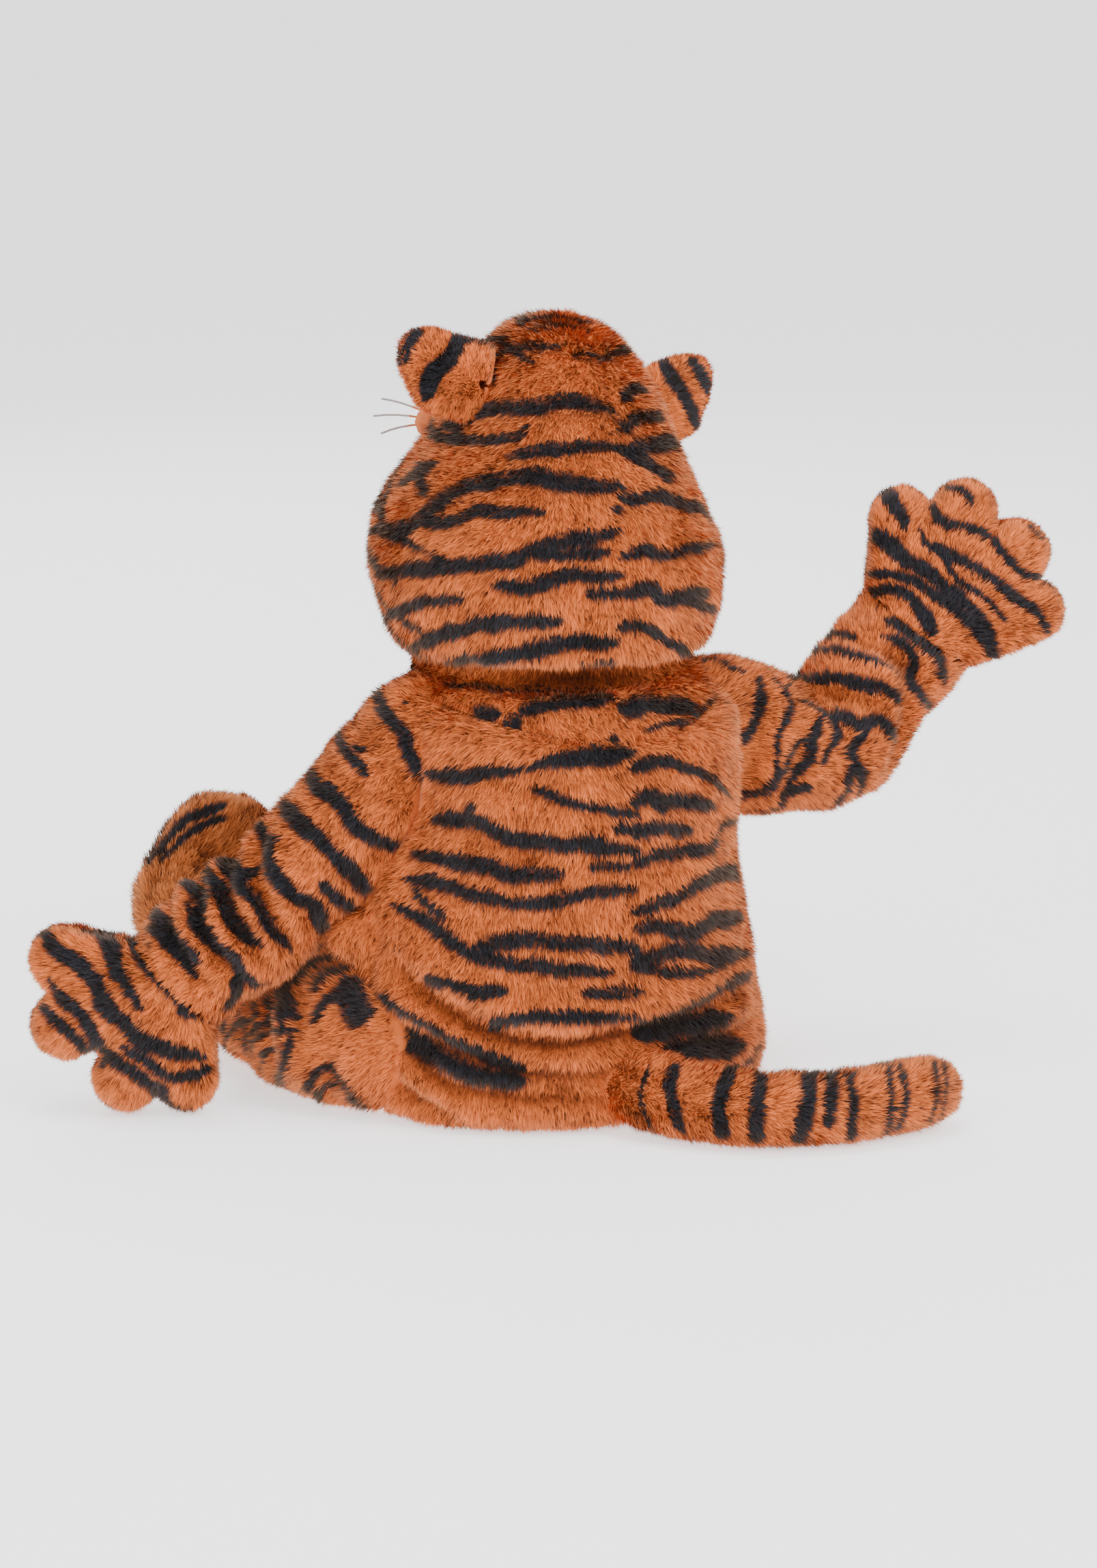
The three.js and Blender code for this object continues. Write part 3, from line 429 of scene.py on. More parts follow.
class Net:
    """A surface as a grid of points with normals, round (u) and down (t), in millimetres."""

    def __init__(self, surface, u, t, size, outward=None):
        self.surface = surface
        us = np.linspace(u[0], u[1], size[0] + 1)
        ts = np.linspace(t[0], t[1], size[1] + 1)
        self.u, self.t = np.meshgrid(us, ts, indexing="ij")
        self.points = surface(self.u, self.t)
        self.base = self.points
        self.outward = outward
        self.measure()
        self.keep = np.full(self.u.shape, FAR)
        # painted shade that the creases put on each point, from 0 to 1
        self.fold = np.zeros(self.u.shape)

    def measure(self):
        round_ = np.gradient(self.points, axis=0)
        self.down = np.gradient(self.points, axis=1)
        normals = np.cross(self.down, round_)
        if self.outward is not None:
            turn = dot(normals, self.outward).sum()
        else:
            whole = self.surface(np.linspace(0, 1, 16, endpoint=False)[:, None], self.t[:1])
            turn = dot(normals, self.points - whole.mean(0)[None]).sum()
        normals *= np.sign(turn)
        length = np.linalg.norm(normals, axis=-1)
        flat = length < 1e-6
        normals = unit(normals)
        mean = unit(normals.sum(0))
        normals[flat] = np.broadcast_to(mean, normals.shape)[flat]
        if np.allclose(self.points[0], self.points[-1], atol=0.1):
            normals[0] = normals[-1] = unit(normals[0] + normals[-1])
            # In the crook of a tight bend the rings cross, and the grid runs backwards.
            radial = self.points - self.points[:-1].mean(0)[None]
            normals[dot(normals, radial) < 0] *= -1
        if self.outward is not None:
            middle = self.points[:, 0].mean(0)
            for edge in ((slice(None), -1), (0,), (-1,)):
                rim = self.points[edge] - middle
                normals[edge] = unit(rim - self.outward * dot(rim, self.outward)[:, None])
        self.normals = normals
        self.down = unit(self.down)

    def move(self, amount, held=()):
        """Moves the points along their normals, in millimetres; held edges keep their normals."""
        before = self.normals
        self.points = self.points + before * np.broadcast_to(amount, self.u.shape)[..., None]
        self.measure()
        for edge in held:
            row = 0 if edge[1] == "0" else -1
            place = (row,) if edge[0] == "u" else (slice(None), row)
            self.normals[place] = before[place]

    def flat(self, u, t):
        """Where places of the net lie on its flat square."""
        pairs = ((u, self.u), (t, self.t))
        return np.stack([0.02 + 0.96 * (v - own.min()) / np.ptp(own) for v, own in pairs], -1)

    def edge_distance(self, edge):
        """Millimetres from one edge of the net: 'u0', 'u1', 't0' or 't1'."""
        axis = 0 if edge[0] == "u" else 1
        step = np.linalg.norm(np.diff(self.points, axis=axis), axis=-1)
        length = np.zeros(self.u.shape)
        if axis == 0:
            length[1:] = np.cumsum(step, axis=0)
            return length if edge[1] == "0" else length[-1:] - length
        length[:, 1:] = np.cumsum(step, axis=1)
        return length if edge[1] == "0" else length[:, -1:] - length


def near_line(points, line):
    """Distance of points to a line, and how far along it, from 0 to 1, the nearest place is."""
    flat = points.reshape(-1, 3)
    best = np.full(len(flat), 1e9)
    place = np.zeros(len(flat))
    low, high = line.min(0) - 25, line.max(0) + 25
    near = np.flatnonzero(((flat > low) & (flat < high)).all(1))
    if len(near):
        some = flat[near]
        found, where = best[near], place[near]
        spans = len(line) - 1
        for k, a in enumerate(line[:-1]):
            ab = line[k + 1] - a
            f = np.clip((some - a) @ ab / max(ab @ ab, 1e-9), 0, 1)
            d = np.linalg.norm(some - (a + f[:, None] * ab), axis=1)
            closer = d < found
            found[closer] = d[closer]
            where[closer] = (k + f[closer]) / spans
        best[near], place[near] = found, where
    return best.reshape(points.shape[:-1]), place.reshape(points.shape[:-1])


def waves(points, size, seed):
    """Soft noise, about -1 to 1, whose waves are `size` millimetres long."""
    rng = np.random.default_rng(seed)
    total = np.zeros(points.shape[:-1])
    for _ in range(7):
        direction = unit(rng.normal(size=3)) * (2 * np.pi / size) * rng.uniform(0.7, 1.5)
        total += np.sin(points @ direction + rng.uniform(0, 2 * np.pi))
    return total / 3.0


def drift(points, size, seed):
    """Soft noise in each of the three directions."""
    return np.stack([waves(points, size, seed + k) for k in range(3)], -1)


FOLD_SHADE = 0.5  # how wide the painted shade in a trough is, against the trough's half width


def crease(net, creases, seams):
    """Presses soft troughs with raised lips into a net; each is ((depth, half width), line). It
    also sets net.fold, painted shade in the troughs, which darkens the colour of the pile and the
    cloth there.
    """
    amount = np.zeros(net.u.shape)
    net.fold = np.zeros(net.u.shape)
    for (depth, width), line in creases:
        distance, place = near_line(net.base, line)
        x = distance / width[0]
        ends = np.sin(np.pi * np.clip(place, 0, 1)) ** 0.6
        press = ends * np.exp(-x * x)
        amount -= depth[0] * (press - 0.45 * ends * np.exp(-((x - 1.9) ** 2)))
        shade = ends * np.exp(-((x / FOLD_SHADE) ** 2)) * min(depth[0] / 6, 1)
        net.fold = np.maximum(net.fold, shade)
    net.move(amount, seams)


def stripe_at(points, stripes, soft=0.18):
    """How black the pile is at points, from 0 to 1; each stripe is ((widths in pixels), line)."""
    bent = points + 0.6 * drift(points, 26, STRIPE_SEED)
    rough = 1 + 0.1 * waves(points, 22, STRIPE_SEED + 9)
    black = np.zeros(points.shape[:-1])
    for (widths,), line in stripes:
        distance, place = near_line(bent, line)
        ends = np.clip(np.minimum(place, 1 - place) / 0.14, 0, 1) ** 0.5
        width = np.interp(place, np.linspace(0, 1, len(widths)), widths) * PIXEL
        half = width * 0.82 * (0.25 + 0.75 * ends) * rough
        black = np.maximum(black, 1 - smooth(distance / half, 1 - soft, 1 + soft))
    return black


# ---------------------------------------------------------------- the camera and the charts

# Where the camera stands, in degrees and millimetres, and its lens, in pixels of the whole frame.
VIEW = {"turn": 25, "above": 12, "distance": 2600, "target": (3.3, -1.5, 191.3), "focal": 6190}
FRAME = {"wide": 1607, "high": 2296}
PIXEL = VIEW["distance"] / VIEW["focal"]  # millimetres that a pixel spans at the target

turned, raised = np.radians(VIEW["turn"]), np.radians(VIEW["above"])
TO_CAMERA = np.array(
    [np.sin(turned) * np.cos(raised), np.cos(turned) * np.cos(raised), np.sin(raised)]
)
VIEW_RIGHT = np.array([-np.cos(turned), np.sin(turned), 0])
VIEW_UP = np.cross(VIEW_RIGHT, -TO_CAMERA)
EYE = np.array(VIEW["target"]) + TO_CAMERA * VIEW["distance"]

# Each line of a chart is a stripe: its width in pixels, or its widths from one end to the other,
# and then the pixels of the photograph that its middle passes through.
HOOD_CHART = """
14 756,467 822,463 872,470
8 769,481 822,473 872,480
8 699,506 716,496 739,493
9 676,549 699,530 746,511 789,506 829,503
9 839,516 872,518 895,523
17 643,626 679,612 719,598 772,598 822,588 862,588 911,603
12 640,639 673,644 726,642 756,639 772,624
14 739,667 805,659 872,651 922,654
18/20 540,779 600,768 640,735 689,709 772,697 822,707 918,715
13 600,768 656,763 703,747 739,752 799,750
16 580,708 606,692 640,680
16 540,842 640,832 747,822 801,800 912,779
12 774,817 841,814 897,810
15 718,858 774,860 828,846 912,846
11 854,871 912,872
12 560,905 600,890 640,880 680,879
16 600,951 667,924 747,913 828,913
16 645,972 747,959 828,943 912,943
8 849,975 905,971
10 892,523 915,511 935,511
14 912,583 931,569 951,568
14 912,628 938,611 981,609
17 912,662 955,652 1001,646
16 922,667 951,677 968,690 991,702
8 898,748 915,748
13 908,730 941,732 971,727 1004,739 1028,745 1052,772
12 908,820 951,804 967,814 1056,798
16 905,873 959,864 975,879 1058,866
10 975,879 1015,884 1058,899
11 905,922 943,919 975,938 1015,962
7 645,1000 760,1003 900,1002
18 757,1045 832,1027 902,1022
20 904,1038 989,1031 1040,1047
7 945,1072 993,1058 1060,1068
7 832,1083 913,1080
16 625,1072 685,1049 730,1045
"""
EAR_LEFT_CHART = """
15 616,480 596,506 586,536
18 673,486 663,520 636,549 620,586
"""
EAR_RIGHT_CHART = """
15 968,526 984,556 1008,589 1021,626
13 1008,523 1024,546 1041,579
"""
BACK_CHART = """
20/8/30 622,1138 699,1136 770,1127 841,1112 930,1102
10 774,1158 850,1181 942,1195
17 630,1203 685,1201 743,1228 810,1237 855,1239 943,1249
8 678,1183 700,1183
12 900,1213 942,1218
16 600,1250 667,1263 712,1268 752,1283 828,1281
10 862,1270 943,1268
14 588,1287 645,1295 699,1313 779,1326 877,1308 938,1307
10 598,1302 623,1326 652,1344
14 574,1326 632,1357 685,1397 743,1411 832,1422 902,1427
16 685,1397 721,1384 788,1379 868,1384 944,1394
14 610,1440 654,1440 690,1453 743,1451
12 855,1455 945,1455
15 716,1509 743,1496 832,1489 947,1497
14 548,1455 609,1496 667,1531 770,1571
22 570,1510 632,1548 699,1578 774,1590
16 515,1608 547,1634
16/7 926,1127 966,1118 1011,1125 1047,1143 1075,1172
22/15 925,1176 953,1170 971,1179 1002,1174 1056,1184
15 925,1223 971,1217 1022,1222
14 923,1270 966,1257 1011,1248 1042,1243 1064,1208
12/20 927,1338 993,1317 1033,1290 1082,1273
14/20 925,1366 971,1357 1007,1368 1047,1350 1091,1343
16 923,1410 958,1404 1002,1393 1047,1400 1100,1396
10 925,1421 989,1426 1029,1424 1066,1411
14 938,1511 1011,1478 1065,1446 1104,1428
22 936,1519 1011,1504 1074,1491
25 965,1556 1020,1536 1090,1531
10 1064,1581 1100,1554 1117,1526
8 1062,1206 1076,1204
8 1071,1287 1085,1285
"""
SLEEVE_LEFT_CHART = """
17/9 550,1004 565,1050 589,1070 598,1108 618,1137 631,1157 648,1188
12 490,1052 502,1091 519,1116 536,1138
16 450,1108 461,1149 498,1178 519,1211 552,1232 608,1251
17 404,1162 436,1203 478,1240 515,1278 548,1316
16 374,1192 391,1240 391,1265 420,1303 461,1327 473,1356 480,1374
12 470,1292 494,1319 528,1335
20/8 343,1228 333,1265 353,1298 374,1319 399,1361 411,1373 432,1398
14 290,1263 316,1298 337,1340 357,1369 386,1390
20/8 266,1290 295,1315 287,1344 304,1373 337,1402 353,1427 374,1443 398,1437
16 220,1325 241,1356 262,1381 290,1413
8 208,1351 233,1373 262,1402 290,1434
14 334,1480 349,1456 345,1432
"""
MITT_LEFT_CHART = """
14 190,1362 208,1406 245,1427 279,1460 299,1481 332,1486
10 258,1480 287,1489 320,1498
24/10 124,1353 158,1377 167,1414 183,1443 208,1481
18 62,1358 80,1390 113,1414 138,1439 150,1468 183,1501 212,1526 250,1541 303,1548
14/18 70,1432 96,1468 125,1493 142,1526 167,1555 204,1576 233,1597 245,1617 284,1638
14 58,1471 92,1506 121,1535 142,1561
12 178,1532 217,1555 250,1576 279,1576 312,1562
10 38,1512 66,1555
"""
LEG_LEFT_CHART = """
10 394,1424 428,1398 478,1383
16 415,1494 411,1452 436,1423 469,1402 520,1395
16 454,1454 478,1423 511,1413
12 450,1498 473,1468 498,1450
12 428,1518 415,1555 411,1588 419,1614
11 446,1602 461,1576 486,1566
10 472,1627 465,1605 486,1595
16 485,1575 511,1605 540,1633
30/26 512,1338 536,1398 573,1440
35/28 503,1430 519,1477 533,1500
12 430,1494 425,1474 420,1448
10 380,1498 393,1484 388,1456
9 366,1500 376,1486 372,1468
10 322,1512 327,1488
7 336,1544 331,1517 345,1500 370,1493
7 357,1549 355,1522 374,1503 408,1493
7 362,1544 370,1525 394,1510 437,1510
7 379,1568 379,1549 394,1539 408,1537
"""
FOOT_LEFT_CHART = """
14 332,1175 262,1207 212,1262
9 334,1196 282,1217 232,1262
"""
SLEEVE_RIGHT_CHART = """
8 1003,993 1030,967 1055,967 1093,985
12 1115,988 1115,1030 1104,1060 1089,1082 1066,1077
8 1122,978 1148,1008 1159,1038 1141,1075 1137,1108 1137,1134 1111,1160 1077,1165
8 1184,1078 1163,1101 1148,1134 1122,1164 1070,1176
14/8 1201,1048 1192,1086 1189,1112 1166,1138 1152,1167 1137,1186 1085,1187
14 1144,1170 1188,1150
10 1170,1021 1203,1041 1226,1071 1218,1093 1201,1123
11 1245,1122 1244,1152 1229,1175 1214,1192
14/9 1270,1071 1248,1097 1255,1119 1265,1145 1253,1172
18/8 1216,1043 1255,1056 1292,1060 1311,1082 1311,1104 1293,1139
13 1154,993 1192,993 1229,993 1274,1004 1303,1012 1328,1034
10 1190,951 1229,949 1259,960 1296,971 1330,989
10 1207,931 1229,925 1252,931
10 1288,930 1322,942 1340,964 1340,997 1355,1023 1367,1040
12/16 1280,886 1314,890 1348,912 1366,942 1377,971 1386,1006
"""
MITT_RIGHT_CHART = """
10/16 1254,877 1289,864 1322,868 1351,897 1368,931
8/18 1258,843 1292,838 1333,849 1377,875 1418,908 1448,942 1457,976
20/8 1268,772 1296,790 1322,816 1351,831 1381,856 1414,879 1437,905 1455,934 1460,969
7 1345,771 1359,797 1385,819 1403,849 1437,868 1455,886 1477,912
11 1366,794 1400,816 1437,834 1470,860 1492,879 1522,897 1538,928
12/8 1357,722 1374,753 1396,768 1437,775 1459,794 1485,827 1503,842 1525,845 1551,868
13 1284,714 1303,723 1318,745 1327,773
10 1384,710 1411,716 1426,742
8 1508,765 1532,789
"""
TAIL_CHART = """
6 953,1558 937,1605 959,1662
13 993,1556 981,1594 1000,1670
15 1072,1563 1052,1621 1058,1677
15 1118,1563 1110,1621 1110,1685
15 1185,1564 1182,1621 1168,1689
14 1218,1563 1219,1608 1213,1652
11 1240,1563 1250,1621 1244,1677
9 1301,1557 1307,1615 1298,1672
8 1317,1553 1329,1608 1310,1669
7 1367,1545 1373,1601 1361,1649
6 1379,1548 1385,1605 1372,1654
"""
# The troughs between the rolls of cloth: depth and half width in millimetres, then pixels.
# A depth below 0 is a bulge.
BACK_CREASES = """
-9 14 515,1325 512,1366 518,1405
7.5 8.5 560,1400 578,1420 632,1464 708,1509 788,1529 859,1527 935,1513 1010,1490 1070,1462 1110,1440
7.5 8.5 560,1480 578,1500 667,1541 770,1571 832,1574 899,1569 940,1558
6.5 7.5 560,1500 585,1530 612,1552 641,1577 693,1599 757,1607 821,1609 886,1609 915,1618
5.5 7 532,1529 560,1565 592,1597 633,1621 673,1633
5.5 7 950,1545 1010,1525 1070,1512 1118,1480
2.5 10 650,1190 700,1222 760,1250 840,1262
2.5 10 1050,1200 1010,1235 960,1250
2 9 690,1120 760,1150 860,1160
"""
HOOD_CREASES = """
7 8 690,978 760,990 850,990 930,986 1005,976
2 8 560,960 640,985 700,992
2.5 9 700,1020 780,1008 860,1012
2 9 940,1010 1000,1016 1050,1030
"""
SLEEVE_LEFT_CREASES = """
5 6 400,1195 372,1262 398,1330 440,1392
5 6 352,1235 334,1300 362,1362 400,1425
6 6 300,1268 290,1330 318,1392 372,1448
5 6 256,1300 250,1352 282,1410 335,1470
3 9 520,1035 560,1105 610,1160 650,1192
3 8 600,1220 545,1262 520,1300
2.5 9 470,1110 520,1150 590,1170
"""
SLEEVE_RIGHT_CREASES = """
5 7 1210,925 1262,942 1310,962 1350,1000 1365,1040
5 7 1326,976 1330,1036 1318,1096 1296,1140
4 8 1160,1010 1210,1022 1262,1030 1310,1045
3 9 1090,1000 1112,1060 1096,1130 1075,1170
3 8 1175,1060 1168,1120 1140,1170
"""
LEG_LEFT_CREASES = """
-5 13 462,1384 487,1366 512,1350
4 7 322,1500 360,1512 402,1498
4 7 330,1540 368,1552 408,1538
3.5 8 430,1420 440,1480 452,1560
4 8 486,1480 484,1576 500,1640
3 7 396,1450 392,1520 400,1600
"""


def through(marks, each=5):
    """A smooth line through marks, as points."""
    marks = np.asarray(marks, float)
    ends = np.vstack([2 * marks[0] - marks[1], marks, 2 * marks[-1] - marks[-2]])
    f = np.linspace(0, 1, each, endpoint=False)[:, None]
    spans = [
        0.5 * (2 * b + (c - a) * f + (2 * a - 5 * b + 4 * c - d) * f**2)
        + 0.5 * (3 * b - a - 3 * c + d) * f**3
        for a, b, c, d in zip(ends, ends[1:], ends[2:], ends[3:])
    ]
    return np.vstack([*spans, marks[-1:]])


class Form:
    """A whole surface, on which the charts' lines are laid."""

    def __init__(self, surface, size, outward=None):
        self.net = Net(surface, (0, 1), (0, 1), size, outward)
        points = self.net.points
        rows, columns = self.net.u.shape
        self.flat = points.reshape(-1, 3)
        faces = grid_faces(rows, columns, np.ones(self.net.u.size, bool))
        self.faces = faces
        self.tree = BVHTree.FromPolygons([Vector(p) for p in self.flat], faces.tolist())
        a, b, d = self.flat[faces[:, 0]], self.flat[faces[:, 1]], self.flat[faces[:, 3]]
        way = dot(np.cross(b - a, d - a), self.net.normals.reshape(-1, 3)[faces[:, 0]]).sum()
        self.way = 1 if way > 0 else -1
        self.mouth = Vector(points[:-1, 0].mean(0))
        self.along = Vector(points[:-1, 1].mean(0)) - self.mouth

    def outside(self, points):
        """Signed distance of points from the surface, in millimetres; less than 0 is inside."""
        flat = points.reshape(-1, 3)
        signed = np.empty(len(flat))
        near_mouth = self.net.t.ravel()[self.faces[:, 0]] < 0.1
        for k, p in enumerate(flat):
            p = Vector(p)
            place, normal, face, distance = self.tree.find_nearest(p)
            over = (p - place).dot(normal) * self.way
            beyond = near_mouth[face] and (p - self.mouth).dot(self.along) < 0
            signed[k] = distance if over > 0 or beyond else -distance
        return signed.reshape(points.shape[:-1])

    def seen(self, pixels):
        """The line of the surface that the camera sees at pixels of the frame."""
        found = []
        depth = VIEW["distance"]
        for x, y in through(pixels):
            aside = (x - FRAME["wide"] / 2) / VIEW["focal"]
            down = (y - FRAME["high"] / 2) / VIEW["focal"]
            ray = Vector(unit(-TO_CAMERA + VIEW_RIGHT * aside - VIEW_UP * down))
            hit, _, _, far = self.tree.ray_cast(Vector(EYE), ray)
            if hit is None:
                hit = self.tree.find_nearest(Vector(EYE) + ray * depth)[0]
            else:
                depth = far
            found.append(hit)
        return np.array(found)

    def behind(self, line, about):
        """The line mirrored to the side of the surface that faces away: u becomes about - u."""
        _, _, faces, _ = zip(*[self.tree.find_nearest(Vector(p)) for p in line])
        corner = self.faces[list(faces)][:, 0]
        u, t = self.net.u.ravel()[corner], self.net.t.ravel()[corner]
        mirrored = self.net.surface(about - u, t)
        mirrored[1:-1] = (mirrored[:-2] + mirrored[1:-1] + mirrored[2:]) / 3
        return mirrored


def charted(form, chart, columns=1, about=1):
    """A chart's lines on a form, and mirrored behind it: [(numbers before the pixels, line)]."""
    lines = []
    for row in chart.strip().split("\n"):
        words = row.split()
        numbers = [[float(v) for v in word.split("/")] for word in words[:columns]]
        line = form.seen([[float(v) for v in word.split(",")] for word in words[columns:]])
        lines.append((numbers, line))
        if about is not None:
            lines.append((numbers, form.behind(line, about)))
    return lines


# Stripes where no chart reaches: width in pixels, then t, the middle u, and how far round they go.
LEG_RINGS = [
    (13, 0.3, 0.1, 0.2),
    (11, 0.36, 0.55, 0.3),
    (14, 0.43, 0.12, 0.32),
    (12, 0.5, 0.6, 0.26),
    (15, 0.56, 0.15, 0.3),
    (11, 0.62, 0.5, 0.3),
    (14, 0.68, 0.1, 0.34),
    (12, 0.74, 0.62, 0.26),
    (13, 0.81, 0.2, 0.3),
    (11, 0.87, 0.55, 0.3),
    (13, 0.94, 0.05, 0.34),
]


def ringed(form, rings):
    """Stripes that go part of the way round a limb, as `charted` gives them."""
    f = np.linspace(-0.5, 0.5, 14)
    lines = []
    for width, t, middle, span in rings:
        line = form.net.surface(middle + span * f, t + 0.02 * np.sin(5 * f))
        lines.append(([[0.5 * width, width, 0.6 * width]], line))
    return lines


# ---------------------------------------------------------------- materials


def node(tree, kind, **inputs):
    made = tree.nodes.new(kind)
    for name, value in inputs.items():
        made.inputs[name.replace("_", " ")].default_value = value
    return made


def ramp(tree, factor, stops):
    made = tree.nodes.new("ShaderNodeValToRGB")
    elements = made.color_ramp.elements
    while len(elements) < len(stops):
        elements.new(0.5)
    for element, (place, colour) in zip(elements, stops):
        element.position = place
        element.color = (*colour, 1)
    tree.links.new(factor, made.inputs["Fac"])
    return made.outputs["Color"]


def new_material(name, roughness):
    material = bpy.data.materials.new(name)
    material.use_nodes = True
    shader = material.node_tree.nodes["Principled BSDF"]
    shader.inputs["Roughness"].default_value = roughness
    return material, material.node_tree, shader


def textured(tree, shader, texture, stops, strength, distance):
    """Lets a texture vary the colour, and the height by up to `distance` metres."""
    tree.links.new(ramp(tree, texture.outputs["Fac"], stops), shader.inputs["Base Color"])
    bump = node(tree, "ShaderNodeBump", Strength=strength, Distance=distance)
    tree.links.new(texture.outputs["Fac"], bump.inputs["Height"])
    tree.links.new(bump.outputs["Normal"], shader.inputs["Normal"])


def plush_material(name, pile):
    """Pile whose colour goes from darker roots, painted shade deep in the pile, to lighter tips, in
    the stops of `pile` or of the black stripes, times a tone that also carries painted shade in
    creases.
    """
    material, tree, shader = new_material(name, 0.9)
    shader.inputs["Specular IOR Level"].default_value = 0.22
    shader.inputs["Sheen Weight"].default_value = 0.3
    shader.inputs["Sheen Roughness"].default_value = 0.5
    shader.inputs["Sheen Tint"].default_value = (1.0, 0.6, 0.36, 1)
    facts = tree.nodes.new("ShaderNodeVertexColor")
    facts.layer_name = "plush"
    split = tree.nodes.new("ShaderNodeSeparateColor")
    tree.links.new(facts.outputs["Color"], split.inputs["Color"])
    stripe, tip, tone = (split.outputs[k] for k in ("Red", "Green", "Blue"))
    light = ramp(tree, tip, pile)
    black = ramp(tree, tip, BLACK_PILE)
    striped = tree.nodes.new("ShaderNodeMix")
    striped.data_type = "RGBA"
    tree.links.new(stripe, striped.inputs["Factor"])
    tree.links.new(light, striped.inputs["A"])
    tree.links.new(black, striped.inputs["B"])
    shade = ramp(tree, tone, TONES)
    final = tree.nodes.new("ShaderNodeMix")
    final.data_type = "RGBA"
    final.blend_type = "MULTIPLY"
    final.inputs["Factor"].default_value = 1
    tree.links.new(striped.outputs["Result"], final.inputs["A"])
    tree.links.new(shade, final.inputs["B"])
    tree.links.new(final.outputs["Result"], shader.inputs["Base Color"])
    return material


# The pile's tone: it differs at random from strand to strand and lock to lock, and drops to the low
# stops in the creases' troughs, painted shade.
TONES = [
    (0, (0.1, 0.08, 0.075)),
    (0.12, (0.34, 0.28, 0.26)),
    (0.3, (0.72, 0.68, 0.66)),
    (0.5, (0.97, 0.97, 0.97)),
    (1, (1.4, 1.45, 1.5)),
]
# The pile's colours from root (0) to tip (1); in each ramp below, the darker roots are painted
# shade deep in the pile.
ORANGE_PILE = [
    (0.0, (0.2, 0.054, 0.015)),
    (0.4, (0.52, 0.122, 0.028)),
    (0.75, (0.76, 0.162, 0.034)),
    (1.0, (0.9, 0.232, 0.06)),
]
# The feet's pile, darker than the body's: painted shade on the feet.
SHADED_FOOT_PILE = [
    (0.0, (0.14, 0.03, 0.008)),
    (0.4, (0.42, 0.1, 0.022)),
    (0.8, (0.62, 0.17, 0.042)),
    (1.0, (0.72, 0.25, 0.08)),
]
BLACK_PILE = [
    (0.0, (0.006, 0.006, 0.008)),
    (0.7, (0.013, 0.014, 0.019)),
    (1.0, (0.035, 0.036, 0.045)),
]
plush = plush_material("plush", ORANGE_PILE)
# The feet's darker plush: painted shade.
foot_plush = plush_material("foot_plush", SHADED_FOOT_PILE)


def backing_material():
    """The knitted back of the cloth, seen inside the garment."""
    material, tree, shader = new_material("backing", 0.95)
    place = tree.nodes.new("ShaderNodeTexCoord")
    wales = node(tree, "ShaderNodeTexWave", Scale=260, Distortion=2.0)
    tree.links.new(place.outputs["Object"], wales.inputs["Vector"])
    stops = [(0, (0.36, 0.17, 0.07)), (1, (0.5, 0.26, 0.12))]
    textured(tree, shader, wales, stops, 0.4, 0.0004)
    return material


backing = backing_material()

# ---------------------------------------------------------------- meshes


def mesh_object(name, points, faces, materials, facts, uvs, normals=None):
    """A mesh from arrays; `facts` are the stripe, tip and tone of each point."""
    mesh = bpy.data.meshes.new(name)
    count, sides = faces.shape
    mesh.vertices.add(len(points))
    mesh.vertices.foreach_set("co", points.astype(np.float32).ravel())
    mesh.loops.add(faces.size)
    mesh.loops.foreach_set("vertex_index", faces.astype(np.int32).ravel())
    mesh.polygons.add(count)
    mesh.polygons.foreach_set("loop_start", np.arange(0, faces.size, sides, dtype=np.int32))
    mesh.polygons.foreach_set("use_smooth", np.ones(count, bool))
    layer = mesh.color_attributes.new("plush", "FLOAT_COLOR", "POINT")
    colours = np.ones((len(points), 4), np.float32)
    colours[:, :3] = facts
    layer.data.foreach_set("color", colours.ravel())
    layer = mesh.uv_layers.new(name="OFBake")
    layer.data.foreach_set("uv", uvs[faces.ravel()].astype(np.float32).ravel())
    mesh.update()
    if normals is not None:
        layer = mesh.attributes.new("custom_normal", "FLOAT_VECTOR", "POINT")
        layer.data.foreach_set("vector", normals.astype(np.float32).ravel())
    for material in materials:
        mesh.materials.append(material)
    made = bpy.data.objects.new(name, mesh)
    bpy.context.scene.collection.objects.link(made)
    return made


WELD = 0.02 * MM
HEM = -3  # what `keep` is at the end of the margin of cloth that lies under a neighbour
CUT_AWAY = -50  # what `keep` is where no margin of cloth is left
SHELL_TIP, SHELL_TONE = 0.6, 0.45  # the cloth's place on the pile's ramp, and its tone: both below the tips', painted shade deep in the pile


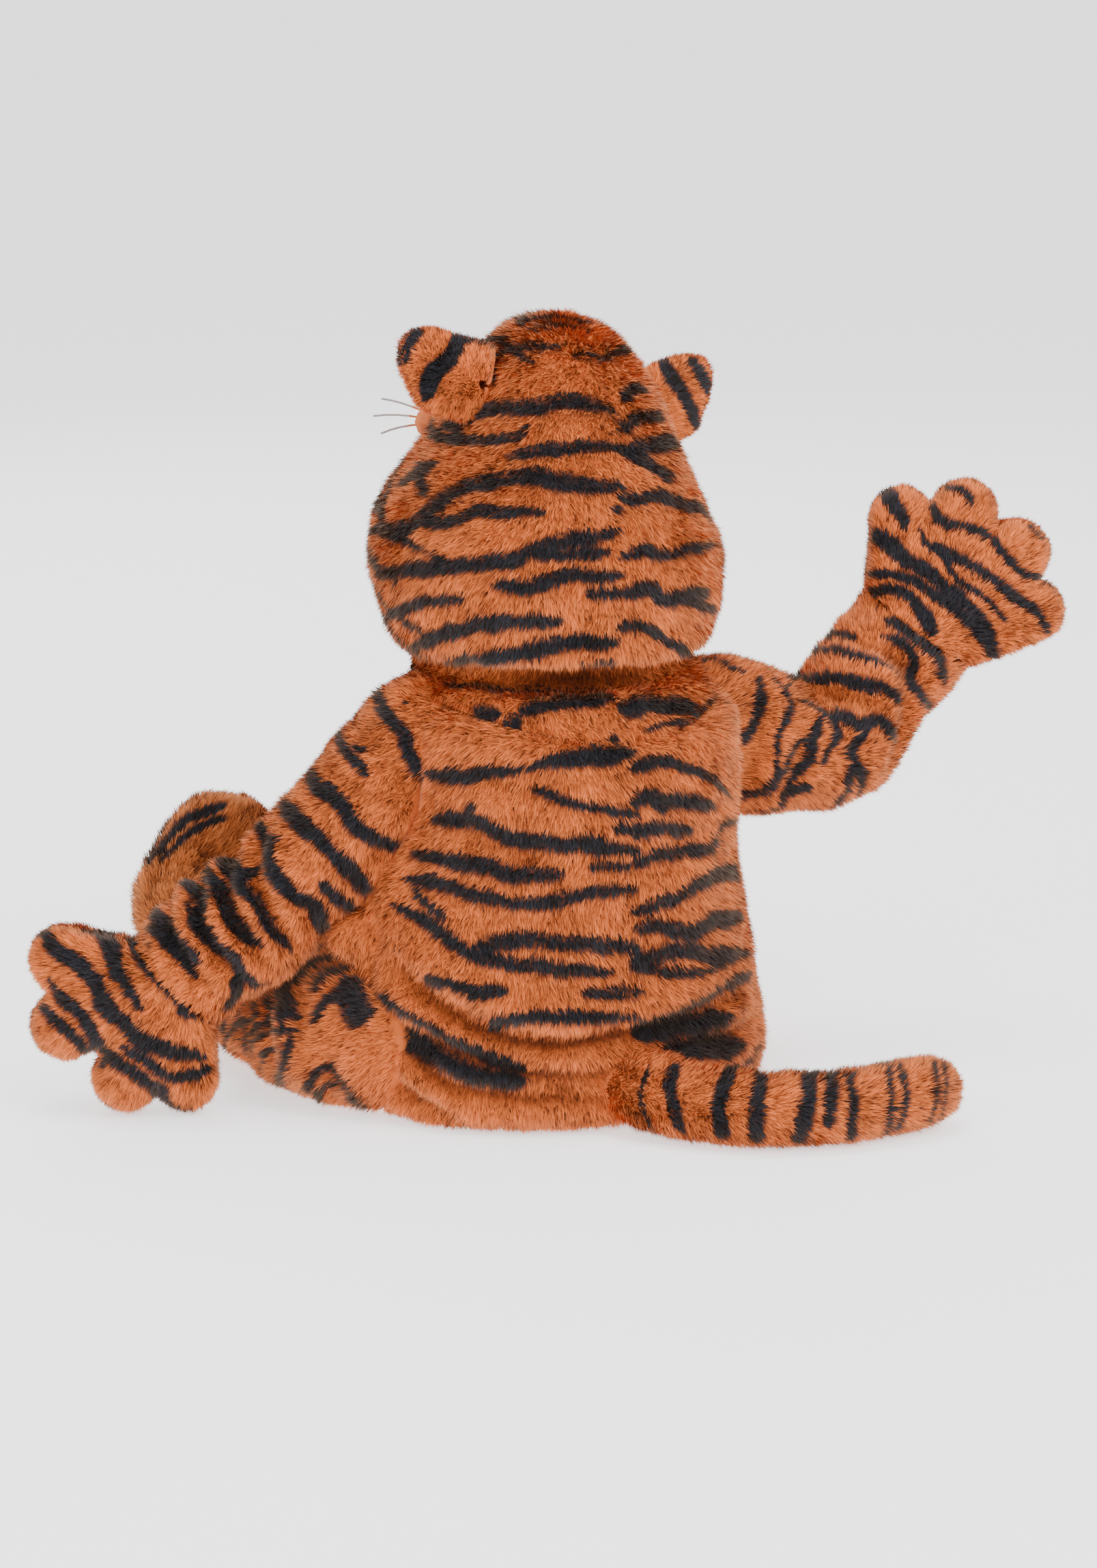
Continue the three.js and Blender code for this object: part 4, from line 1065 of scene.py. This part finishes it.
def shell_object(name, net, black, materials, solid=False):
    """The cloth under the pile: a thin shell a pile's depth inside its solid's surface."""
    rows, columns = net.u.shape
    points = net.points - net.normals * PILE_DEPTH
    points[..., 2] = np.maximum(points[..., 2], min(PILE_DEPTH, CLEAR + BACKING))
    # Painted shade: the cloth takes a darker place on the pile's ramp than the tips, and its tone
    # darkens in the creases' troughs.
    facts = np.stack([black, np.full((rows, columns), SHELL_TIP), SHELL_TONE * (1 - net.fold)], -1)
    faces = grid_faces(rows, columns, (net.keep > HEM).ravel())
    faces = faces[(net.keep.ravel()[faces] > CUT_AWAY).all(1)]
    p = points.reshape(-1, 3)
    one, two, three, _ = faces[len(faces) // 2]
    if np.cross(p[two] - p[one], p[three] - p[one]) @ net.normals.reshape(-1, 3)[one] < 0:
        faces = faces[:, ::-1]
    kept = np.unique(faces)
    new = np.full(len(p), -1)
    new[kept] = np.arange(len(kept))
    uvs = net.flat(net.u, net.t).reshape(-1, 2)[kept]
    facts = facts.reshape(-1, 3)[kept]
    made = mesh_object(name, world(p[kept]), new[faces], materials, facts, uvs)
    weld(made)
    if not solid:
        thick = made.modifiers.new("cloth", "SOLIDIFY")
        thick.thickness = BACKING * MM
        thick.offset = -1
        thick.material_offset = 1
        thick.material_offset_rim = 0
        apply_modifiers(made)
    return made


def weld(made):
    """Welds closed ends and the line where a tube's grid meets itself."""
    work = bmesh.new()
    work.from_mesh(made.data)
    bmesh.ops.remove_doubles(work, verts=work.verts, dist=WELD)
    bmesh.ops.dissolve_degenerate(work, edges=work.edges, dist=1e-6)
    work.to_mesh(made.data)
    work.free()


def apply_modifiers(made):
    graph = bpy.context.evaluated_depsgraph_get()
    mesh = bpy.data.meshes.new_from_object(made.evaluated_get(graph))
    made.modifiers.clear()
    made.data = mesh


def bilinear(values, i, j, f, g):
    shape = (-1,) + (1,) * (values.ndim - 2)
    f, g = f.reshape(shape), g.reshape(shape)
    return (
        values[i, j] * (1 - f) * (1 - g)
        + values[i + 1, j] * f * (1 - g)
        + values[i, j + 1] * (1 - f) * g
        + values[i + 1, j + 1] * f * g
    )


# The pile's strands, in millimetres and degrees.
STRAND = {"length": 6.0, "lift": 48, "half_wide": 0.34, "wider": 0.16, "root_tip": 0.4}
LOCK = {"wide": 4.2, "pull": 0.34}  # the tips of a lock's strands are pulled to its middle
FUZZ = 0.32  # how far the edges of the stripes scatter from strand to strand
# Numbers that scatter the locks' middles and tones.
MIDDLE_MIX = np.array([[12.9, 78.2, 37.7], [39.3, 11.1, 83.1], [73.1, 52.2, 9.1]])
TONE_MIX = np.array([91.7, 27.3, 64.9])


def scattered(home, mix, spread):
    """From each lock's place in the grid of locks, a number from 0 to 1 that looks random."""
    return np.modf(np.abs(np.sin(home @ mix)) * spread)[0]


def fur_object(name, net, count, stripes, material, seed, length=STRAND["length"], way=1):
    """The pile on a net: tapered strands that lie down the cloth, or up it if way is -1."""
    rng = np.random.default_rng(seed)
    count = int(count * FUR_SHARE)
    a = np.diff(net.points[:, :-1], axis=0)
    b = np.diff(net.points[:-1], axis=1)
    area = np.linalg.norm(np.cross(a, b), axis=-1)
    keep = net.keep
    area[np.maximum.reduce([keep[:-1, :-1], keep[1:, :-1], keep[:-1, 1:], keep[1:, 1:]]) < 0] = 0
    cells = rng.choice(area.size, count, p=(area / area.sum()).ravel())
    i, j = np.unravel_index(cells, area.shape)
    f, g = rng.random(count), rng.random(count)
    inside = bilinear(keep, i, j, f, g) > 0
    i, j, f, g = i[inside], j[inside], f[inside], g[inside]
    count = len(i)
    root, base = bilinear(net.points, i, j, f, g), bilinear(net.base, i, j, f, g)
    normal = unit(bilinear(net.normals, i, j, f, g))
    down = bilinear(net.down, i, j, f, g) * way
    down = unit(down - normal * dot(down, normal)[:, None])
    aside = np.cross(normal, down)

    swirl = 16 * waves(root, 70, seed + 1) + 10 * waves(root, 19, seed + 2)
    swirl = np.radians(swirl + 9 * rng.normal(size=count))[:, None]
    lay = down * np.cos(swirl) + aside * np.sin(swirl)
    rise = np.radians(STRAND["lift"] + 7 * waves(root, 24, seed + 3) + 9 * rng.normal(size=count))
    rise = np.clip(rise, 0.12, 1.35)[:, None]
    size = length * (1 + 0.12 * waves(root, 15, seed + 4) + 0.16 * rng.normal(size=count))
    fold = bilinear(net.fold, i, j, f, g)
    size = (np.clip(size, 0.45 * length, 1.5 * length) * (1 - 0.3 * fold))[:, None]
    start = root - normal * PILE_DEPTH
    tip = start + (lay * np.cos(rise) + normal * np.sin(rise)) * size
    home = np.floor((root + 1.5 * drift(root, 9, seed + 5)) / LOCK["wide"])
    centre = (home + 0.2 + 0.6 * scattered(home, MIDDLE_MIX, 4375.5)) * LOCK["wide"]
    pull = centre - root
    pull -= normal * dot(pull, normal)[:, None]
    tip = tip + pull * LOCK["pull"]
    direction = unit(tip - start)

    wide = (STRAND["half_wide"] + STRAND["wider"] * rng.random(count))[:, None]
    side = unit(np.cross(direction, normal) + 0.35 * rng.normal(size=(count, 3)))
    side = unit(side - direction * dot(side, direction)[:, None])
    points = np.stack([start - side * wide, start + side * wide, tip], 1)
    across, along = points[:, 1] - points[:, 0], points[:, 2] - points[:, 0]
    turned = dot(np.cross(across, along), normal) < 0
    points[turned] = points[turned][:, [1, 0, 2]]
    points[..., 2] = np.maximum(points[..., 2], CLEAR)

    shown = base + lay * np.cos(rise) * size * 0.6 + FUZZ * rng.normal(size=(count, 3))
    tone = 0.5 + 0.22 * rng.normal(size=count) + 0.4 * (scattered(home, TONE_MIX, 917.3) - 0.5)
    # Painted shade: the tone darkens in the creases' troughs.
    tone = (tone + 0.12 * waves(root, 40, seed + 8)) * (1 - 0.95 * fold)
    facts = np.empty((count, 3, 3))
    facts[..., 0] = stripe_at(shown, stripes)[:, None]
    # Roots low on the ramp and tips at its top: the darker roots are painted shade deep in the
    # pile.
    facts[..., 1] = [STRAND["root_tip"], STRAND["root_tip"], 1]
    facts[..., 2] = np.clip(tone, 0, 1)[:, None]
    shading = unit(normal * 0.8 + direction * 0.25 + 0.12 * rng.normal(size=(count, 3)))
    flat = net.flat(bilinear(net.u, i, j, f, g), bilinear(net.t, i, j, f, g))[:, None]
    flat = flat + np.array([[-0.0016, 0], [0.0016, 0], [0, 0.0032]])
    return mesh_object(
        name,
        world(points.reshape(-1, 3)),
        np.arange(3 * count).reshape(-1, 3),
        [material],
        facts.reshape(-1, 3),
        flat.reshape(-1, 2),
        np.repeat(shading, 3, axis=0),
    )


# ---------------------------------------------------------------- the garment's pieces

GRID = 4.7  # millimetres between the points of a net
SEAM_DEPTH = 1.7  # millimetres that a seam draws its edge in
SEAM_WIDTH = 4.0  # millimetres over which that fades
WHOLE = (0, 1)
sewn = []  # the names of the pieces so far; their number seeds the next one's pile


def steps_for(surface, u, t):
    """How many steps a net needs, round and down, to have cells of about GRID."""
    rough = Net(surface, u, t, (24, 24), outward=UP).points
    round_ = np.linalg.norm(np.diff(rough, axis=0), axis=-1).sum(0).max()
    down = np.linalg.norm(np.diff(rough, axis=1), axis=-1).sum(1).max()
    return max(int(round_ / GRID), 8), max(int(down / GRID), 8)


def dress(cloth, pile, node_name):
    """Hangs a piece's cloth and pile on the body, and puts the cloth in its solid's place."""
    for piece in (cloth, pile):
        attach(piece, "root")
    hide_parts(node_name)


def add_cloth(name, surface, count, u=WHOLE, t=WHOLE, material=plush,
              stripes=(), creases=(), seams=(), trim=(), way=1, outward=None,
              length=STRAND["length"]):
    """One sewn piece: its cloth, creased and trimmed where others cover it, and its pile."""
    net = Net(surface, u, t, steps_for(surface, u, t), outward)
    for keep_out in trim:
        net.keep = np.minimum(net.keep, keep_out(net.base))
    crease(net, creases, seams)
    amount = 0.7 * waves(net.base, 48, 5) + 0.35 * waves(net.base, 21, 6)
    for edge in seams:
        amount = amount - SEAM_DEPTH * np.exp(-((net.edge_distance(edge) / SEAM_WIDTH) ** 2))
    net.move(amount, seams)
    black = stripe_at(net.base, stripes, soft=0.5)
    inside = backing if surface in (torso, open_hood) else material
    cloth = shell_object(name + "_cloth", net, black, [material, inside])
    seed = len(sewn) * 17 + SEED
    pile = fur_object(name + "_pile", net, count, stripes, material, seed, length, way)
    dress(cloth, pile, name)
    sewn.append(name)


torso_form = Form(torso, (180, 90))
hood_form = Form(hood, (180, 90))
sleeve_forms = {side: Form(sleeve_surface(side), (90, 110)) for side in SIGN}
leg_forms = {side: Form(leg_surface(side), (90, 110)) for side in SIGN}
foot_forms = {side: Form(foot_surface(side), (72, 60)) for side in SIGN}
tail_form = Form(limb_surface(TAIL, ground_place(1), UP), (60, 100))
mitt_forms = {side: Form(mitt_surface(side, 1), (90, 50), outward=ARM_BACK) for side in SIGN}


def away_from(form, gap=0.6):
    """How far points are outside a form and a gap round it, to trim a piece by."""
    return lambda points: form.outside(points) - gap


def face_ring(points):
    """How far points are from the middle of the face opening, against its edge, which is at 1."""
    aside, above = points[..., 0], points[..., 2] - FACE["height"]
    ring = np.hypot(aside / FACE["half_wide"], above / FACE["half_high"])
    return np.where(points[..., 1] < FACE["behind"], ring, FAR)


def open_hood(u, t):
    """The hood, whose points just inside the face opening are moved to its edge."""
    points = hood(u, t)
    ring = face_ring(points)
    scale = np.where((ring > FACE_REACH) & (ring < 1), 1 / ring, 1.0)
    points[..., 0] *= scale
    points[..., 2] = FACE["height"] + (points[..., 2] - FACE["height"]) * scale
    return points


def off_the_face(points):
    """Distance from the face opening, on the side that stays."""
    ring = face_ring(points)
    far = (ring - 1) * (FACE["half_wide"] + FACE["half_high"]) / 2
    return np.where(ring < FACE_REACH, 2 * CUT_AWAY, far)


back_stripes = charted(torso_form, BACK_CHART)
back_creases = charted(torso_form, BACK_CREASES, columns=2)
hood_stripes = charted(hood_form, HOOD_CHART)
hood_creases = charted(hood_form, HOOD_CREASES, columns=2, about=None)
torso_trim = [away_from(form, 0.2) for form in (*sleeve_forms.values(), *leg_forms.values())]

# Each panel's part of the way round, and its strands.
PANELS = {
    "back_left": ((0, 0.25), 52000),
    "back_right": ((0.25, 0.5), 44000),
    "front_right": ((0.5, 0.75), 30000),
    "front_left": ((0.75, 1), 30000),
}
for name, (span, count) in PANELS.items():
    add_cloth(name, torso, count, span, stripes=back_stripes, creases=back_creases,
              seams=("u0", "u1", "t0"), trim=torso_trim)
for name, span, count in (("hood_left", (-0.25, 0.25), 70000), ("hood_right", (0.25, 0.75), 62000)):
    add_cloth(name, open_hood, count, span, stripes=hood_stripes, creases=hood_creases,
              seams=("u0", "u1", "t0"), trim=[off_the_face], way=-1)
SLEEVE_CHARTS = {
    "left": (SLEEVE_LEFT_CHART, SLEEVE_LEFT_CREASES, MITT_LEFT_CHART),
    "right": (SLEEVE_RIGHT_CHART, SLEEVE_RIGHT_CREASES, MITT_RIGHT_CHART),
}
# The lines of the left leg, mirrored, serve the right one too.
LEG_LINES = (
    charted(leg_forms["left"], LEG_LEFT_CHART, about=0.5) + ringed(leg_forms["left"], LEG_RINGS),
    charted(leg_forms["left"], LEG_LEFT_CREASES, columns=2, about=0.5),
)
LEG_STRANDS = {"left": 52000, "right": 40000}
foot_stripes = charted(foot_forms["left"], FOOT_LEFT_CHART)
for side in SIGN:
    sleeve_chart, sleeve_creases, mitt_chart = SLEEVE_CHARTS[side]
    form = sleeve_forms[side]
    add_cloth(f"sleeve_{side}", form.net.surface, 70000, stripes=charted(form, sleeve_chart),
              creases=charted(form, sleeve_creases, columns=2),
              trim=[away_from(torso_form), away_from(hood_form)])
    form = mitt_forms[side]
    seen = charted(form, mitt_chart, about=None)
    middle = dot(form.net.points[0, 0], ARM_BACK) - SEAM_GAP / 2
    palm = [(w, line - 2 * ((line @ ARM_BACK) - middle)[:, None] * ARM_BACK) for w, line in seen]
    for face, facing, lines in (("back", 1, seen), ("palm", -1, palm)):
        add_cloth(f"mitt_{side}_{face}", mitt_surface(side, facing), 26000,
                  stripes=lines, seams=("t1",), outward=ARM_BACK * facing)
    form = leg_forms[side]
    mirror = [SIGN[side], 1, 1]
    leg_stripes, leg_creases = ([(w, line * mirror) for w, line in lines] for lines in LEG_LINES)
    add_cloth(f"leg_{side}", form.net.surface, LEG_STRANDS[side], stripes=leg_stripes,
              creases=leg_creases, seams=("t1",), trim=[away_from(torso_form)])
    form = foot_forms[side]
    for part, span in (("upper", (0, 0.5)), ("sole", (0.5, 1))):
        add_cloth(f"foot_{side}_{part}", form.net.surface, 16000, span,
                  # the feet's darker pile, painted shade
                  material=foot_plush,
                  stripes=[(w, line * mirror) for w, line in foot_stripes],
                  seams=("u0", "u1", "t0"))

# ---------------------------------------------------------------- ears, tail, whiskers

EAR_CHARTS = {"left": EAR_LEFT_CHART, "right": EAR_RIGHT_CHART}
for side in SIGN:
    back_form = Form(ear_surface(side, 1), (60, 30), outward=BACK)
    lines = charted(back_form, EAR_CHARTS[side], about=None)
    middle = EARS[side]["foot"][1]
    mirrored = [(w, line * [1, -1, 1] + [0, 2 * middle, 0]) for w, line in lines]
    for face, facing, stripes in (("back", 1, lines), ("front", -1, mirrored)):
        add_cloth(f"ear_{side}_{face}", ear_surface(side, facing), 11000, t=(0.1, 1),
                  stripes=stripes, seams=("t1",),
                  trim=[away_from(hood_form, gap=-2)], outward=BACK * facing, length=5.6)


def add_tail():
    """The tail: a plump cloth tube, stuffed full, under its pile."""
    surface = tail_form.net.surface
    stripes = charted(tail_form, TAIL_CHART)
    net = Net(surface, WHOLE, WHOLE, steps_for(surface, WHOLE, WHOLE))
    net.keep = away_from(torso_form)(net.base)
    net.move(0.5 * waves(net.base, 40, 5))
    skin = shell_object("tail_skin", net, stripe_at(net.base, stripes), [plush], solid=True)
    pile = fur_object("tail_pile", net, 44000, stripes, plush, SEED)
    dress(skin, pile, "tail")


add_tail()

# The whisker pads: their middles' places, and half their width and height.
PAD = {"x": 30, "z": 405, "wide": 19, "high": 14}


def plain_material(name, dark, light, roughness):
    """A colour with a faint, fine unevenness."""
    material, tree, shader = new_material(name, roughness)
    noise = node(tree, "ShaderNodeTexNoise", Scale=90)
    textured(tree, shader, noise, [(0.3, dark), (0.7, light)], 0.6, 0.0006)
    return material


def dress_whiskers():
    """Gives the whiskers their pale fibre, and their pads the colour of the plush."""
    fibre = plain_material("whisker", (0.33, 0.32, 0.31), (0.5, 0.49, 0.47), 0.4)
    felt = plain_material("pad", (0.45, 0.11, 0.03), (0.68, 0.17, 0.05), 0.95)
    for side, sign in SIGN.items():
        pad = frame["nodes"][f"whiskers_{side}"]
        materials = pad.data.materials
        materials.clear()
        materials.append(fibre)
        materials.append(felt)
        for face in pad.data.polygons:
            x, _, z = (pad.matrix_world @ face.center) / MM
            aside, above = x - sign * PAD["x"], z + HOLD_HEIGHT - PAD["z"]
            on_pad = np.hypot(aside / PAD["wide"], above / PAD["high"]) < 1
            face.material_index = 1 if on_pad else 0


dress_whiskers()

# ---------------------------------------------------------------- floor, light and camera


def floor_material():
    material, _, shader = new_material("floor", 0.9)
    shader.inputs["Base Color"].default_value = (0.93, 0.93, 0.93, 1)
    shader.inputs["Emission Color"].default_value = (1, 1, 1, 1)
    shader.inputs["Emission Strength"].default_value = 1.1
    return material


def add_floor():
    bpy.ops.mesh.primitive_plane_add(size=60, location=(0, 0, -HOLD_HEIGHT * MM))
    floor = bpy.context.object
    floor.name = "floor"
    floor.data.materials.append(floor_material())


def add_light(name, place, size, power, target=(0, 0, -0.03)):
    light = bpy.data.lights.new(name, "AREA")
    light.shape = "DISK"
    light.size = size
    light.energy = power
    made_light = bpy.data.objects.new(name, light)
    bpy.context.scene.collection.objects.link(made_light)
    made_light.location = place
    made_light.rotation_euler = (Vector(target) - Vector(place)).to_track_quat("-Z", "Y").to_euler()


def add_camera():
    camera = bpy.data.cameras.new("camera")
    camera.sensor_fit = "VERTICAL"
    camera.sensor_height = 36
    camera.lens = VIEW["focal"] * camera.sensor_height / FRAME["high"]
    camera.clip_end = 30
    made_camera = bpy.data.objects.new("camera", camera)
    bpy.context.scene.collection.objects.link(made_camera)
    made_camera.location = world(EYE)
    made_camera.rotation_euler = Vector(-TO_CAMERA).to_track_quat("-Z", "Y").to_euler()
    bpy.context.scene.camera = made_camera


add_floor()
add_light("key", (-0.6, 2.2, 2.0), 1.6, 50)
add_light("fill", (2.2, 1.4, 1.2), 1.8, 24)
add_light("front", (-0.4, -2.6, 1.6), 1.8, 30)
add_light("top", (0.2, 0.2, 2.6), 1.6, 40)
sky = bpy.data.worlds.new("sky")
sky.use_nodes = True
sky.node_tree.nodes["Background"].inputs["Color"].default_value = (1, 1, 1, 1)
sky.node_tree.nodes["Background"].inputs["Strength"].default_value = 1.0
bpy.context.scene.world = sky
add_camera()
